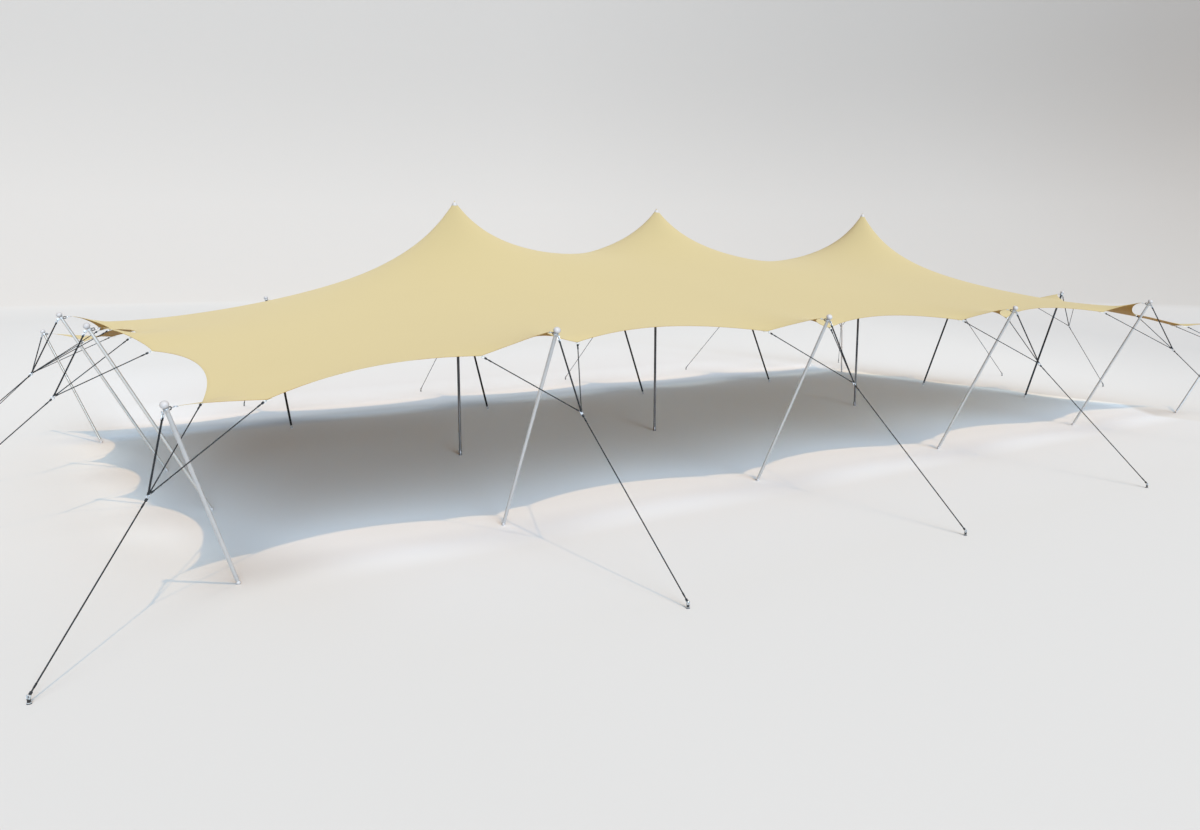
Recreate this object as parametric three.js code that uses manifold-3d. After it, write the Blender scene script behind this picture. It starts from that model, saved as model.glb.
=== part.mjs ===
// Stretch tent: one long stretched canopy on three king poles and sixteen leaning
// edge poles, with the bridles and guy ropes that tighten it and their ground anchors.
// Millimetres, +Z up. +X runs along the tent and +Y across it, away from its front.
// The origin is on the ground in the middle of the sixteen anchors.
import * as THREE from "three";
import { mergeVertices } from "three/addons/utils/BufferGeometryUtils.js";
import loadManifold from "manifold-3d";

const wasm = await loadManifold();
wasm.setup();
const { Manifold, Mesh: ManifoldMesh } = wasm;
const FINENESS = 0.2; // facets smaller than this are merged

// Plan of the pole heads
const HALF_LENGTH = 11475; // middle of the tent to the heads of the end poles
const HALF_WIDTH = 6000; // middle of the tent to the heads of the front and back poles
const HEADS_ALONG = [-7045, -2345, 2340, 7000]; // the front and back poles
const ANCHORS_ALONG = [-7020, -2340, 2340, 7020];
const END_POLE_Y = 1575; // the two poles of an end stand this far either side of the middle
const CORNER_X = 11375;
const CORNER_Y = 5820;

// Edge poles
const SIDE_HEAD_Z = 2675;
const END_HEAD_Z = 2650;
const SIDE_LEAN = 1385; // how far the head stands out from the foot
const CORNER_HEAD_Z = 2125;
const CORNER_LEAN = 755; // along X and along Y
const POLE_RADIUS = 23;
const CAP = { radius: 45, rise: 39, above: 45 }; // the flattened ball above an edge pole's head
const FOOT = { ball: 27, up: 24, neck: 14, length: 66 }; // the ball that an edge pole stands on
const COLLAR_BELOW = 10; // middle of the collar, below the head
const COLLAR_LENGTH = 34;
const COLLAR_RADIUS = 30;
const CLEVIS_OUT = 45; // from the collar's middle to the clevis pin
const CLEVIS_DROP = 20;
const CHEEK_Y = 16; // a cheek of a clevis from its middle

// King poles
const KINGS = [
  { x: -5380, peak: 4570 }, // peak: middle of the cloth over the pole
  { x: -870, peak: 4560 },
  { x: 5355, peak: 4640 },
];
const KING_RADIUS = 24;
const KING_CAP_RADIUS = 70;
const KING_FOOT = { radius: 31, length: 90 };

// Cloth
const CLOTH_THICKNESS = 10;
const TIP_SETBACK = 165; // a tip of the cloth from its pole's head
const TIP_RISE = 10;
const CORNER_TIP_SETBACK = 147; // along X and along Y
const LOOP_OUT = { along: 673, inward: 560, z: 2500 }; // the two loops beside a pole
const LOOP_NEAR_CORNER = { along: 700, inward: 590, z: 2398 };
const END_LOOP = { along: 664, inward: 600, z: 2475 };
const END_LOOP_NEAR_CORNER = { along: 715, inward: 620, z: 2383 };
const CORNER_LOOP_ON_END = { along: 1067, inward: 566, z: 2020 };
const CORNER_LOOP_ON_SIDE = { along: 1112, inward: 549, z: 2057 };
const SCALLOP = { span: 3350, depth: 330, rise: 120 }; // the edge between two poles
const END_CORNER_DEPTH = 370; // of the hollow between a corner and an end pole
const END_MIDDLE_RISE = 50; // between the two poles of an end
const RIGHT_CORNER_RISE = 80; // along a side, next to a right-hand corner
// How the edge leaves a tip and comes to a loop: leave and arrive are parts of the distance
// between them, drop and rise are parts of their difference in height
const TIP_ARC = { leave: 0.22, drop: 0.11, arrive: 0.3, rise: 0.25 };

// Ropes
const STRAP_RADIUS = 10; // the thick rope from a pole's head to its ring
const BRIDLE_RADIUS = 6.5;
const GUY_RADIUS = 7;
const HEAD_LINK = 67; // from the pin of a pole's head to the knot of the thick rope
const LINK_RADIUS = 4.5;
const SIDE_RING = { out: 540, z: 1776 }; // outward from the head, and height
const END_RING = { out: 480, z: 1775 };
const CORNER_RING = { x: 255, y: 232, z: 1330 };
const RING_RADIUS = 18;
const RING_WIRE = 5;
const EYE_RADIUS = 15;
const LOOP_EYE_RADIUS = 20;
const EYE_WIRE = 4.5;
const EYE_SHIFT = 3; // the pull of a rope moves its eye this far off the pin
const ANCHOR_EYE = { radius: 10, wire: 3.5, shift: 2 };
const LOOP_GAP = 12; // between the edge of the cloth and a bridle's eye
const KNOT = 22;

// Anchors
const ANCHOR_OUT = 2475;
const CORNER_ANCHOR = { x: 1413, y: 1300 };
const ANCHOR_BASE = { radius: 21, height: 14, bevel: 4 };
const ANCHOR_POST = { foot: 18, head: 24, top: 42 };
const ANCHOR_FORK = { thickness: 5, width: 36, length: 18, top: 76 };
const ANCHOR_PIN = { radius: 3, z: 62 };

// Finish of each kind of piece
const FINISH = {
  cloth: { color: 0xdccfa4, roughness: 0.85, metalness: 0 },
  pole: { color: 0xc9cdd2, roughness: 0.4, metalness: 0.6 },
  rope: { color: 0x3b3b3e, roughness: 0.8, metalness: 0 },
  anchor: { color: 0x4a4c4f, roughness: 0.5, metalness: 0.6 },
};

const UP = new THREE.Vector3(0, 1, 0);
const at = (x, y, z) => new THREE.Vector3(x, y, z);

// Solids

function solidOf(geometry) {
  const bare = geometry.clone();
  bare.deleteAttribute("normal");
  bare.deleteAttribute("uv");
  const merged = mergeVertices(bare, 1e-4);
  const corners = Array.from(merged.index.array);
  // a turned profile that meets its axis leaves facets with two corners in one place
  const whole = corners.filter((_, n) => {
    const [a, b, c] = corners.slice(n - (n % 3), n - (n % 3) + 3);
    return a !== b && b !== c && c !== a;
  });
  return new Manifold(
    new ManifoldMesh({
      numProp: 3,
      vertProperties: Float32Array.from(merged.attributes.position.array),
      triVerts: Uint32Array.from(whole),
    }),
  );
}

function joined(geometries) {
  const whole = geometries.map(solidOf).reduce((sum, piece) => sum.add(piece));
  return whole.simplify(FINENESS);
}

function geometryOf(solid) {
  const mesh = solid.getMesh();
  const geometry = new THREE.BufferGeometry();
  geometry.setAttribute("position", new THREE.BufferAttribute(mesh.vertProperties, 3));
  geometry.setIndex(new THREE.BufferAttribute(mesh.triVerts, 1));
  geometry.computeVertexNormals();
  return geometry;
}

function rod(from, to, radius, sides = 5, endRadius = radius) {
  const along = to.clone().sub(from);
  const geometry = new THREE.CylinderGeometry(endRadius, radius, along.length(), sides);
  const turn = new THREE.Quaternion().setFromUnitVectors(UP, along.clone().normalize());
  geometry.applyQuaternion(turn);
  const middle = from.clone().add(to).multiplyScalar(0.5);
  return geometry.translate(middle.x, middle.y, middle.z);
}

function ring(centre, axis, radius, wire, steps = 6) {
  const geometry = new THREE.TorusGeometry(radius, wire, 4, steps);
  const turn = new THREE.Quaternion().setFromUnitVectors(at(0, 0, 1), axis);
  return geometry.applyQuaternion(turn).translate(centre.x, centre.y, centre.z);
}

function block(centre, x, y, z) {
  return new THREE.BoxGeometry(x, y, z).translate(centre.x, centre.y, centre.z);
}

function aboveGround(solid) {
  return solid.trimByPlane([0, 0, 1], 0);
}

// Stations: where each edge pole stands, what it holds and where it is tied

function sideStation(name, x, y, out, anchorShift = 0) {
  const across = at(-out.y, out.x, 0);
  const atEnd = Math.abs(out.x) > 0;
  const head = at(x, y, atEnd ? END_HEAD_Z : SIDE_HEAD_Z);
  const plain = atEnd ? END_LOOP : LOOP_OUT;
  const outer = atEnd ? END_LOOP_NEAR_CORNER : LOOP_NEAR_CORNER;
  const loops = [-1, 1].map((hand) => {
    const nearCorner = Math.abs(across.dot(head) + hand) > Math.abs(across.dot(head));
    const outermost = atEnd || Math.abs(x) > HALF_WIDTH;
    const loop = nearCorner && outermost ? outer : plain;
    return at(head.x, head.y, loop.z)
      .addScaledVector(across, hand * loop.along)
      .addScaledVector(out, -loop.inward);
  });
  const place = atEnd ? END_RING : SIDE_RING;
  const toAnchor = out.clone().multiplyScalar(ANCHOR_OUT).add(at(anchorShift, 0, 0));
  return {
    name,
    head,
    foot: at(x, y, 0).addScaledVector(out, -SIDE_LEAN),
    tip: head.clone().addScaledVector(out, -TIP_SETBACK).add(at(0, 0, TIP_RISE)),
    inward: out.clone().negate(),
    loops,
    ring: at(x, y, place.z).addScaledVector(toAnchor, place.out / ANCHOR_OUT),
    anchor: at(x, y, 0).add(toAnchor),
  };
}

function cornerStation(name, sx, sy) {
  const place = (x, y, z) => at(sx * (CORNER_X + x), sy * (CORNER_Y + y), z);
  return {
    name,
    head: place(0, 0, CORNER_HEAD_Z),
    foot: place(-CORNER_LEAN, -CORNER_LEAN, 0),
    tip: place(-CORNER_TIP_SETBACK, -CORNER_TIP_SETBACK, CORNER_HEAD_Z),
    inward: at(-sx, -sy, 0).normalize(),
    // first the loop on the end edge, then the loop on the long edge
    loops: [
      place(-CORNER_LOOP_ON_END.inward, -CORNER_LOOP_ON_END.along, CORNER_LOOP_ON_END.z),
      place(-CORNER_LOOP_ON_SIDE.along, -CORNER_LOOP_ON_SIDE.inward, CORNER_LOOP_ON_SIDE.z),
    ],
    ring: place(CORNER_RING.x, CORNER_RING.y, CORNER_RING.z),
    anchor: place(CORNER_ANCHOR.x, CORNER_ANCHOR.y, 0),
  };
}

const front = HEADS_ALONG.map((x, i) =>
  sideStation(`front_${i + 1}`, x, -HALF_WIDTH, at(0, -1, 0), ANCHORS_ALONG[i] - x),
);
const back = HEADS_ALONG.map((x, i) =>
  sideStation(`back_${i + 1}`, x, HALF_WIDTH, at(0, 1, 0), ANCHORS_ALONG[i] - x),
);
const left = [-1, 1].map((side, i) =>
  sideStation(`left_${i + 1}`, -HALF_LENGTH, side * END_POLE_Y, at(-1, 0, 0)),
);
const right = [-1, 1].map((side, i) =>
  sideStation(`right_${i + 1}`, HALF_LENGTH, side * END_POLE_Y, at(1, 0, 0)),
);
const corners = {
  frontLeft: cornerStation("corner_front_left", -1, -1),
  frontRight: cornerStation("corner_front_right", 1, -1),
  backLeft: cornerStation("corner_back_left", -1, 1),
  backRight: cornerStation("corner_back_right", 1, 1),
};
const stations = [...front, ...back, ...left, ...right, ...Object.values(corners)];

// Canopy: a net in even tension between its edge and the king poles

const ARC_STEPS = 6;
const SCALLOP_STEPS = 12;
const KEEP_EVERY = 3; // lines of the net that the solid keeps
const CAP_REACH = 104; // a king pole's cap stiffens the net about this far round it
const SAG = 0.016; // downward pull of the cloth's weight on each square metre of net
const BAND = { pull: 9, width: 200 }; // added tension along the line from loop to loop
// Added tension across the tent, at these places along it
const CROSS_PULL = [
  { x: -7020, pull: 0.6 },
  { x: -2340, pull: 1.6 },
  { x: 7020, pull: 1.2 },
];
const CROSS_WIDTH = 500;

function scallop(from, to, inward, depth, rise) {
  const scale = from.distanceTo(to) / SCALLOP.span;
  return Array.from({ length: SCALLOP_STEPS }, (_, i) => {
    const t = i / SCALLOP_STEPS;
    const bow = 4 * t * (1 - t) * scale;
    const point = from.clone().lerp(to, t).addScaledVector(inward, bow * depth);
    return point.add(at(0, 0, bow * rise));
  });
}

// The edge leaves the tip of a station inwards and turns until it runs along the side
function tipArc(station, loop, along) {
  const { tip, inward } = station;
  const size = tip.distanceTo(loop);
  const climb = tip.z - loop.z;
  const back = Math.sign(tip.clone().sub(loop).dot(along));
  const leave = inward.clone().multiplyScalar(TIP_ARC.leave * size).setZ(-TIP_ARC.drop * climb);
  const arrive = along.clone().multiplyScalar(back * TIP_ARC.arrive * size);
  arrive.z = TIP_ARC.rise * climb;
  const curve = new THREE.CubicBezierCurve3(tip, tip.clone().add(leave), loop.clone().add(arrive), loop);
  return curve.getPoints(ARC_STEPS);
}

// One edge of the net, from the tip at one corner to the tip at the next
function edgeOf(first, between, last, inward, along, cornerLoop) {
  const points = [];
  let from = first;
  let loop = first.loops[cornerLoop];
  const inOrder = (station) => station.loops.slice().sort((a, b) => a.dot(along) - b.dot(along));
  for (const station of [...between, last]) {
    const [before, after] = station === last ? [last.loops[cornerLoop]] : inOrder(station);
    points.push(...tipArc(from, loop, along).slice(0, -1));
    const atCorner = from === first || station === last;
    const atEnd = cornerLoop === 0;
    const depth = atEnd && atCorner ? END_CORNER_DEPTH : SCALLOP.depth;
    let { rise } = SCALLOP;
    if (atEnd && !atCorner) rise = END_MIDDLE_RISE;
    if (!atEnd && station === last) rise = RIGHT_CORNER_RISE;
    points.push(...scallop(loop, before, inward, depth, rise));
    points.push(...tipArc(station, before, along).reverse().slice(0, -1));
    from = station;
    loop = after;
  }
  return [...points, last.tip];
}

function relax(net, fixed, weights, pull, rounds) {
  const { wide, deep } = net;
  const { ahead, aside } = weights;
  const OVER = 1.93;
  for (let round = 0; round < rounds; round += 1) {
    for (let i = 1; i < wide - 1; i += 1) {
      for (let j = 1; j < deep - 1; j += 1) {
        const k = i * deep + j;
        if (fixed[k]) continue;
        const a = ahead[k];
        const b = ahead[k - deep];
        const c = aside[k];
        const d = aside[k - 1];
        const sum = a + b + c + d;
        for (const axis of [net.x, net.y, net.z]) {
          const load = axis === net.z ? pull[k] : 0;
          const mean =
            (a * axis[k + deep] + b * axis[k - deep] + c * axis[k + 1] + d * axis[k - 1] - load) /
            sum;
          axis[k] += OVER * (mean - axis[k]);
        }
      }
    }
  }
}

// The tension added by the band from loop to loop to a line that runs along it
function bandPull({ start, span, width }, x, y, dx, dy) {
  const [fromX, fromY] = [x - start.x, y - start.y];
  if (Math.abs(fromX) + Math.abs(fromY) > 3 * width) return 0;
  const share = THREE.MathUtils.clamp((fromX * span.x + fromY * span.y) / width ** 2, 0, 1);
  const away = Math.hypot(fromX - share * span.x, fromY - share * span.y);
  const near = Math.max(0, 1 - away / BAND.width);
  const turn = (dx * span.x + dy * span.y) / (width * Math.max(Math.hypot(dx, dy), 0.001));
  return BAND.pull * near * turn ** 2;
}

function crossPull(x, dx, dy) {
  const turn = dy / Math.max(Math.hypot(dx, dy), 0.001);
  return CROSS_PULL.reduce((sum, band) => {
    const near = Math.max(0, 1 - Math.abs(x - band.x) / CROSS_WIDTH);
    return sum + band.pull * near * turn ** 2;
  }, 0);
}

function tensions(net, kings) {
  const { wide, deep } = net;
  const bands = stations.map(({ loops: [start, end] }) => {
    const span = end.clone().sub(start).setZ(0);
    return { start, span, width: span.length() };
  });
  const weigh = (k, other) => {
    const [dx, dy] = [net.x[other] - net.x[k], net.y[other] - net.y[k]];
    const [x, y] = [net.x[k] + dx / 2, net.y[k] + dy / 2];
    const nearCaps = kings.reduce((sum, king) => {
      const away = Math.max(Math.hypot(x - king.x, y - king.y), 20);
      return sum + (CAP_REACH / away) ** 2;
    }, 1 + crossPull(x, dx, dy));
    return bands.reduce((sum, band) => sum + bandPull(band, x, y, dx, dy), nearCaps);
  };
  const ahead = new Float64Array(wide * deep);
  const aside = new Float64Array(wide * deep);
  for (let k = 0; k < wide * deep; k += 1) {
    if (k + deep < wide * deep) ahead[k] = weigh(k, k + deep);
    if (k % deep < deep - 1) aside[k] = weigh(k, k + 1);
  }
  return { ahead, aside };
}

function loads(net, strength) {
  const { wide, deep } = net;
  const pull = new Float64Array(wide * deep);
  const step = (k, gap) =>
    at(net.x[k + gap] - net.x[k - gap], net.y[k + gap] - net.y[k - gap], net.z[k + gap] - net.z[k - gap]);
  for (let i = 1; i < wide - 1; i += 1) {
    for (let j = 1; j < deep - 1; j += 1) {
      const k = i * deep + j;
      const cell = step(k, deep).cross(step(k, 1)).length() / 4;
      pull[k] = (strength * cell) / 1000;
    }
  }
  return pull;
}

function netOf() {
  const alongX = at(1, 0, 0);
  const alongY = at(0, 1, 0);
  const { frontLeft, frontRight, backLeft, backRight } = corners;
  const near = edgeOf(frontLeft, front, frontRight, at(0, 1, 0), alongX, 1);
  const far = edgeOf(backLeft, back, backRight, at(0, -1, 0), alongX, 1);
  const start = edgeOf(frontLeft, left, backLeft, at(1, 0, 0), alongY, 0);
  const finish = edgeOf(frontRight, right, backRight, at(-1, 0, 0), alongY, 0);
  const wide = near.length;
  const deep = start.length;
  const size = wide * deep;
  const net = { wide, deep, x: new Float64Array(size), y: new Float64Array(size) };
  net.z = new Float64Array(size);
  const fixed = new Uint8Array(size);
  const put = (i, j, p) => {
    const k = i * deep + j;
    [net.x[k], net.y[k], net.z[k]] = [p.x, p.y, p.z];
    fixed[k] = 1;
  };
  for (let i = 0; i < wide; i += 1) {
    for (let j = 0; j < deep; j += 1) {
      const p = near[i].clone().lerp(far[i], j / (deep - 1));
      put(i, j, p);
      fixed[i * deep + j] = 0;
    }
  }
  near.forEach((p, i) => put(i, 0, p));
  far.forEach((p, i) => put(i, deep - 1, p));
  start.forEach((p, j) => put(0, j, p));
  finish.forEach((p, j) => put(wide - 1, j, p));
  const kings = KINGS.map(({ x, peak }) => at(x, 0, peak));
  const still = new Float64Array(size);
  relax(net, fixed, tensions(net, []), still, 300);
  const middle = (deep - 1) / 2;
  const kingLines = kings.map((king) => {
    let best = 1;
    for (let i = 1; i < wide - 1; i += 1) {
      const away = (line) => Math.abs(net.x[line * deep + middle] - king.x);
      if (away(i) < away(best)) best = i;
    }
    put(best, middle, king);
    return best;
  });
  relax(net, fixed, tensions(net, []), still, 300);
  for (let pass = 0; pass < 4; pass += 1) {
    relax(net, fixed, tensions(net, kings), loads(net, SAG), 250);
  }
  return { net, kingLines };
}

// Lines that the solid keeps; a line through a king pole takes the place of its neighbour
function keptLines(count, mustKeep) {
  const kept = [];
  for (let i = 0; i < count; i += KEEP_EVERY) kept.push(i);
  for (const line of mustKeep) {
    const nearest = kept.reduce((a, b) => (Math.abs(b - line) < Math.abs(a - line) ? b : a));
    kept[kept.indexOf(nearest)] = line;
  }
  return kept;
}

function clothSheet() {
  const { net, kingLines } = netOf();
  const across = keptLines(net.wide, kingLines);
  const down = keptLines(net.deep, []);
  const [rows, columns] = [across.length, down.length];
  const points = [];
  for (const i of across) {
    for (const j of down) {
      const k = i * net.deep + j;
      points.push(at(net.x[k], net.y[k], net.z[k]));
    }
  }
  const quads = [];
  for (let r = 0; r < rows - 1; r += 1) {
    for (let c = 0; c < columns - 1; c += 1) {
      const k = r * columns + c;
      quads.push([k, k + columns, k + columns + 1, k + 1]);
    }
  }
  // each quad is split along its shorter diagonal
  const triangles = quads.flatMap(([a, b, c, d]) => {
    const straight = points[a].distanceTo(points[c]) <= points[b].distanceTo(points[d]);
    return straight ? [[a, b, c], [a, c, d]] : [[a, b, d], [b, c, d]];
  });
  const rim = [];
  for (let r = 0; r < rows; r += 1) rim.push(r * columns);
  for (let c = 1; c < columns; c += 1) rim.push((rows - 1) * columns + c);
  for (let r = rows - 2; r >= 0; r -= 1) rim.push(r * columns + columns - 1);
  for (let c = columns - 2; c > 0; c -= 1) rim.push(c);
  return { points, triangles, rim };
}

function clothNormals({ points, triangles }) {
  const normals = points.map(() => at(0, 0, 0));
  for (const [a, b, c] of triangles) {
    const ab = points[b].clone().sub(points[a]);
    const face = ab.cross(points[c].clone().sub(points[a])).normalize();
    for (const k of [a, b, c]) normals[k].add(face);
  }
  return normals.map((n) => n.normalize());
}

function shell(sheet, above, below) {
  const normals = clothNormals(sheet);
  const count = sheet.points.length;
  const positions = [];
  for (const offset of [above, -below]) {
    sheet.points.forEach((p, k) => positions.push(...p.clone().addScaledVector(normals[k], offset)));
  }
  const index = [];
  for (const [a, b, c] of sheet.triangles) {
    index.push(a, b, c, a + count, c + count, b + count);
  }
  sheet.rim.forEach((k, n) => {
    const next = sheet.rim[(n + 1) % sheet.rim.length];
    index.push(k, k + count, next + count, k, next + count, next);
  });
  const geometry = new THREE.BufferGeometry();
  geometry.setAttribute("position", new THREE.BufferAttribute(Float32Array.from(positions), 3));
  geometry.setIndex(index);
  return geometry;
}

const sheet = clothSheet();
const canopySolid = solidOf(shell(sheet, CLOTH_THICKNESS / 2, CLOTH_THICKNESS / 2));

// Poles

// A round piece about +Z; the profile runs up its right-hand side
function turned(profile, sides) {
  const points = profile.map(([radius, height]) => new THREE.Vector2(radius, height));
  return new THREE.LatheGeometry(points, sides).rotateX(Math.PI / 2);
}

const inRadians = (degrees) => THREE.MathUtils.degToRad(degrees);

function ballFootProfile() {
  const turns = [-55, -20, 15, 58].map(inRadians);
  const ball = turns.map((angle) => [FOOT.ball * Math.cos(angle), FOOT.up + FOOT.ball * Math.sin(angle)]);
  return [[0, FOOT.up - FOOT.ball], ...ball, [FOOT.neck, FOOT.length]];
}

function capProfile(middle) {
  const turns = [20, 50, 80, 110, 135, 160].map(inRadians);
  const waist = turns.map((angle) => [CAP.radius * Math.sin(angle), middle + CAP.rise * Math.cos(angle)]);
  return [...waist.reverse(), [0, middle + CAP.rise]];
}

function edgePole(headZ, lean) {
  const head = at(lean, 0, headZ);
  const length = head.length();
  const collar = head.clone().multiplyScalar((length - COLLAR_BELOW) / length);
  const pin = at(collar.x + CLEVIS_OUT, 0, collar.z - CLEVIS_DROP);
  const low = length - COLLAR_BELOW - COLLAR_LENGTH / 2;
  const high = length - COLLAR_BELOW + COLLAR_LENGTH / 2;
  const shaft = turned(
    [
      ...ballFootProfile(),
      [POLE_RADIUS, FOOT.length],
      [POLE_RADIUS, low],
      [COLLAR_RADIUS, low],
      [COLLAR_RADIUS, high],
      ...capProfile(length + CAP.above).slice(1),
    ],
    9,
  );
  shaft.rotateY(Math.atan2(lean, headZ));
  const pieces = [
    shaft,
    // clevis for the bridle's strap, outside
    block(pin.clone().add(at(-10, -CHEEK_Y, 0)), 46, 5, 20),
    block(pin.clone().add(at(-10, CHEEK_Y, 0)), 46, 5, 20),
    rod(pin.clone().setY(-CHEEK_Y - 1), pin.clone().setY(CHEEK_Y + 1), 5, 4),
    // link to the tip of the cloth, inside
    rod(at(collar.x - 20, 0, collar.z), at(lean - TIP_SETBACK + 20, 0, headZ + TIP_RISE / 2), 8, 4),
  ];
  return aboveGround(joined(pieces));
}

// The cap is shaped to the underside of the cloth that rests on it
function kingPole({ x, peak }) {
  const capMiddle = peak - KING_CAP_RADIUS;
  const foot = [
    [0, 0],
    [KING_FOOT.radius, 0],
    [KING_FOOT.radius, KING_FOOT.length],
  ];
  const shaft = turned(
    [...foot, [KING_RADIUS, KING_FOOT.length], [KING_RADIUS, capMiddle], [0, capMiddle]],
    12,
  );
  const cap = new THREE.SphereGeometry(KING_CAP_RADIUS, 14, 8).translate(0, 0, capMiddle);
  const under = CLOTH_THICKNESS / 2 + 0.4;
  const overhead = solidOf(shell(sheet, 150, under));
  const pole = joined([shaft, cap]).translate([x, 0, 0]);
  return pole.subtract(overhead).translate([-x, 0, 0]);
}

// Bridle and guy rope of one station, about the plan position of the pole's head

function knotOn(centre, out) {
  const geometry = new THREE.BoxGeometry(KNOT, KNOT, KNOT);
  return geometry.rotateZ(Math.atan2(out.y, out.x)).translate(centre.x, centre.y, centre.z);
}

function guySet(station) {
  const origin = at(station.head.x, station.head.y, 0);
  const head = station.head.clone().sub(origin);
  const middle = station.ring.clone().sub(origin);
  const anchor = station.anchor.clone().sub(origin);
  const out = anchor.clone().setZ(0).normalize();
  const across = at(-out.y, out.x, 0);
  const lean = station.head.clone().sub(station.foot).normalize();
  const leanOut = lean.clone().setZ(0).normalize();
  const leanAcross = at(-leanOut.y, leanOut.x, 0);
  const collar = head.clone().addScaledVector(lean, -COLLAR_BELOW);
  const pin = collar.addScaledVector(leanOut, CLEVIS_OUT).add(at(0, 0, -CLEVIS_DROP));
  const fromPin = middle.clone().sub(pin).normalize();
  const headEye = pin.clone().addScaledVector(fromPin, EYE_SHIFT);
  const strapTop = pin.clone().addScaledVector(fromPin, HEAD_LINK);
  const ringTop = middle.clone().addScaledVector(fromPin, -RING_RADIUS);
  const pinBelow = anchor.clone().add(at(0, 0, ANCHOR_PIN.z));
  const down = pinBelow.clone().sub(middle).normalize();
  const ringFoot = middle.clone().addScaledVector(down, RING_RADIUS);
  const footEye = pinBelow.clone().addScaledVector(down, -ANCHOR_EYE.shift);
  const pieces = [
    ring(headEye, leanAcross, EYE_RADIUS, EYE_WIRE),
    rod(headEye.clone().addScaledVector(fromPin, EYE_RADIUS), strapTop, LINK_RADIUS, 4),
    knotOn(strapTop, out),
    rod(strapTop, ringTop, STRAP_RADIUS, 6),
    ring(middle, across, RING_RADIUS, RING_WIRE, 8),
    knotOn(ringTop, out),
    knotOn(ringFoot, out),
    rod(ringFoot, footEye.clone().addScaledVector(down, -ANCHOR_EYE.radius), GUY_RADIUS),
    ring(footEye, across, ANCHOR_EYE.radius, ANCHOR_EYE.wire),
  ];
  for (const loop of station.loops) {
    const edge = loop.clone().sub(origin);
    const pull = ringTop.clone().sub(edge).normalize();
    const centre = edge.clone().addScaledVector(pull, LOOP_EYE_RADIUS + EYE_WIRE + LOOP_GAP);
    const level = at(0, 0, 1).addScaledVector(pull, -pull.z).normalize();
    const end = centre.clone().addScaledVector(pull, LOOP_EYE_RADIUS);
    pieces.push(ring(centre, level, LOOP_EYE_RADIUS, EYE_WIRE));
    pieces.push(rod(end, ringTop, BRIDLE_RADIUS));
  }
  return joined(pieces);
}

// Anchor head: a round base on the ground, a post that widens upwards, and a fork with a pin
function anchorHead() {
  const { foot, head, top } = ANCHOR_POST;
  const post = new THREE.CylinderGeometry(head / Math.SQRT2, foot / Math.SQRT2, top, 4, 1);
  post.rotateY(Math.PI / 4).rotateX(Math.PI / 2);
  const { radius, height, bevel } = ANCHOR_BASE;
  const rim = [[radius, height - bevel], [radius - bevel, height]];
  const base = turned([[0, 0], [radius, 0], ...rim, [0, height]], 14);
  const { thickness, width, length, top: forkTop } = ANCHOR_FORK;
  const prong = (width - thickness) / 2;
  const yoke = top + thickness / 2;
  const sideHeight = forkTop - top;
  return joined([
    base,
    post.translate(0, 0, top / 2 + 2),
    block(at(0, 0, yoke), length, width, thickness),
    block(at(0, -prong, top + sideHeight / 2), length, thickness, sideHeight),
    block(at(0, prong, top + sideHeight / 2), length, thickness, sideHeight),
    rod(at(0, -prong, ANCHOR_PIN.z), at(0, prong, ANCHOR_PIN.z), ANCHOR_PIN.radius, 4),
  ]);
}

// Assembly

function piece(name, solid, finish) {
  const mesh = new THREE.Mesh(geometryOf(solid), new THREE.MeshStandardMaterial(finish));
  mesh.name = name;
  return mesh;
}

const tent = new THREE.Group();
tent.name = "stretch_tent";
tent.add(piece("canopy", canopySolid, FINISH.cloth));

KINGS.forEach((king, i) => {
  const pole = piece(`king_pole_${i + 1}`, kingPole(king), FINISH.pole);
  pole.position.set(king.x, 0, 0);
  tent.add(pole);
});

for (const station of stations) {
  const out = station.head.clone().sub(station.foot).setZ(0);
  const pole = piece(`pole_${station.name}`, edgePole(station.head.z, out.length()), FINISH.pole);
  pole.position.copy(station.foot);
  pole.rotation.z = Math.atan2(out.y, out.x);
  tent.add(pole);

  const guy = piece(`guy_${station.name}`, guySet(station), FINISH.rope);
  guy.position.set(station.head.x, station.head.y, 0);
  tent.add(guy);

  const line = station.anchor.clone().sub(station.head);
  const anchor = piece(`anchor_${station.name}`, anchorHead(), FINISH.anchor);
  anchor.position.copy(station.anchor);
  anchor.rotation.z = Math.atan2(line.y, line.x);
  tent.add(anchor);
}

export default tent;
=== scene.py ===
"""The looks of the stretch tent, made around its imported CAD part.

Metres, +Z up. +X runs along the tent and +Y across it, away from its front.
The canopy is one sheet in even tension between its edge and the three king poles.
"""
from math import atan2, cos, pi, radians, sin, tau

import bmesh
import bpy
import numpy as np
from mathutils import Matrix, Vector


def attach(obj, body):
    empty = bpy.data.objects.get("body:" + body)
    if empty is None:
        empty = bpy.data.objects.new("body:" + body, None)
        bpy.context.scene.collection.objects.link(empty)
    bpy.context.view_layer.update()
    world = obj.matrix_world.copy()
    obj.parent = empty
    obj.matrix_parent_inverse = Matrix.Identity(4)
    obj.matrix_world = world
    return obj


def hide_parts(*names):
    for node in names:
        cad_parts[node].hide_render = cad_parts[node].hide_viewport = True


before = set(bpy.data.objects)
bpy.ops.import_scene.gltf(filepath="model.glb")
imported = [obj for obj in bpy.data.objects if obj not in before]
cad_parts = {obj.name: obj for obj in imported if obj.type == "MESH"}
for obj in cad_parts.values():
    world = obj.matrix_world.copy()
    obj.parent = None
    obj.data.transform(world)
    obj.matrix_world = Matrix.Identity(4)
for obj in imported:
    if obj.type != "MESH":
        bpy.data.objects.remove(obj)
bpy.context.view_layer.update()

# Plan of the pole heads
HALF_LENGTH = 11.475
HALF_WIDTH = 6.0
HEADS_ALONG = (-7.045, -2.345, 2.34, 7.0)  # the front and back poles
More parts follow.
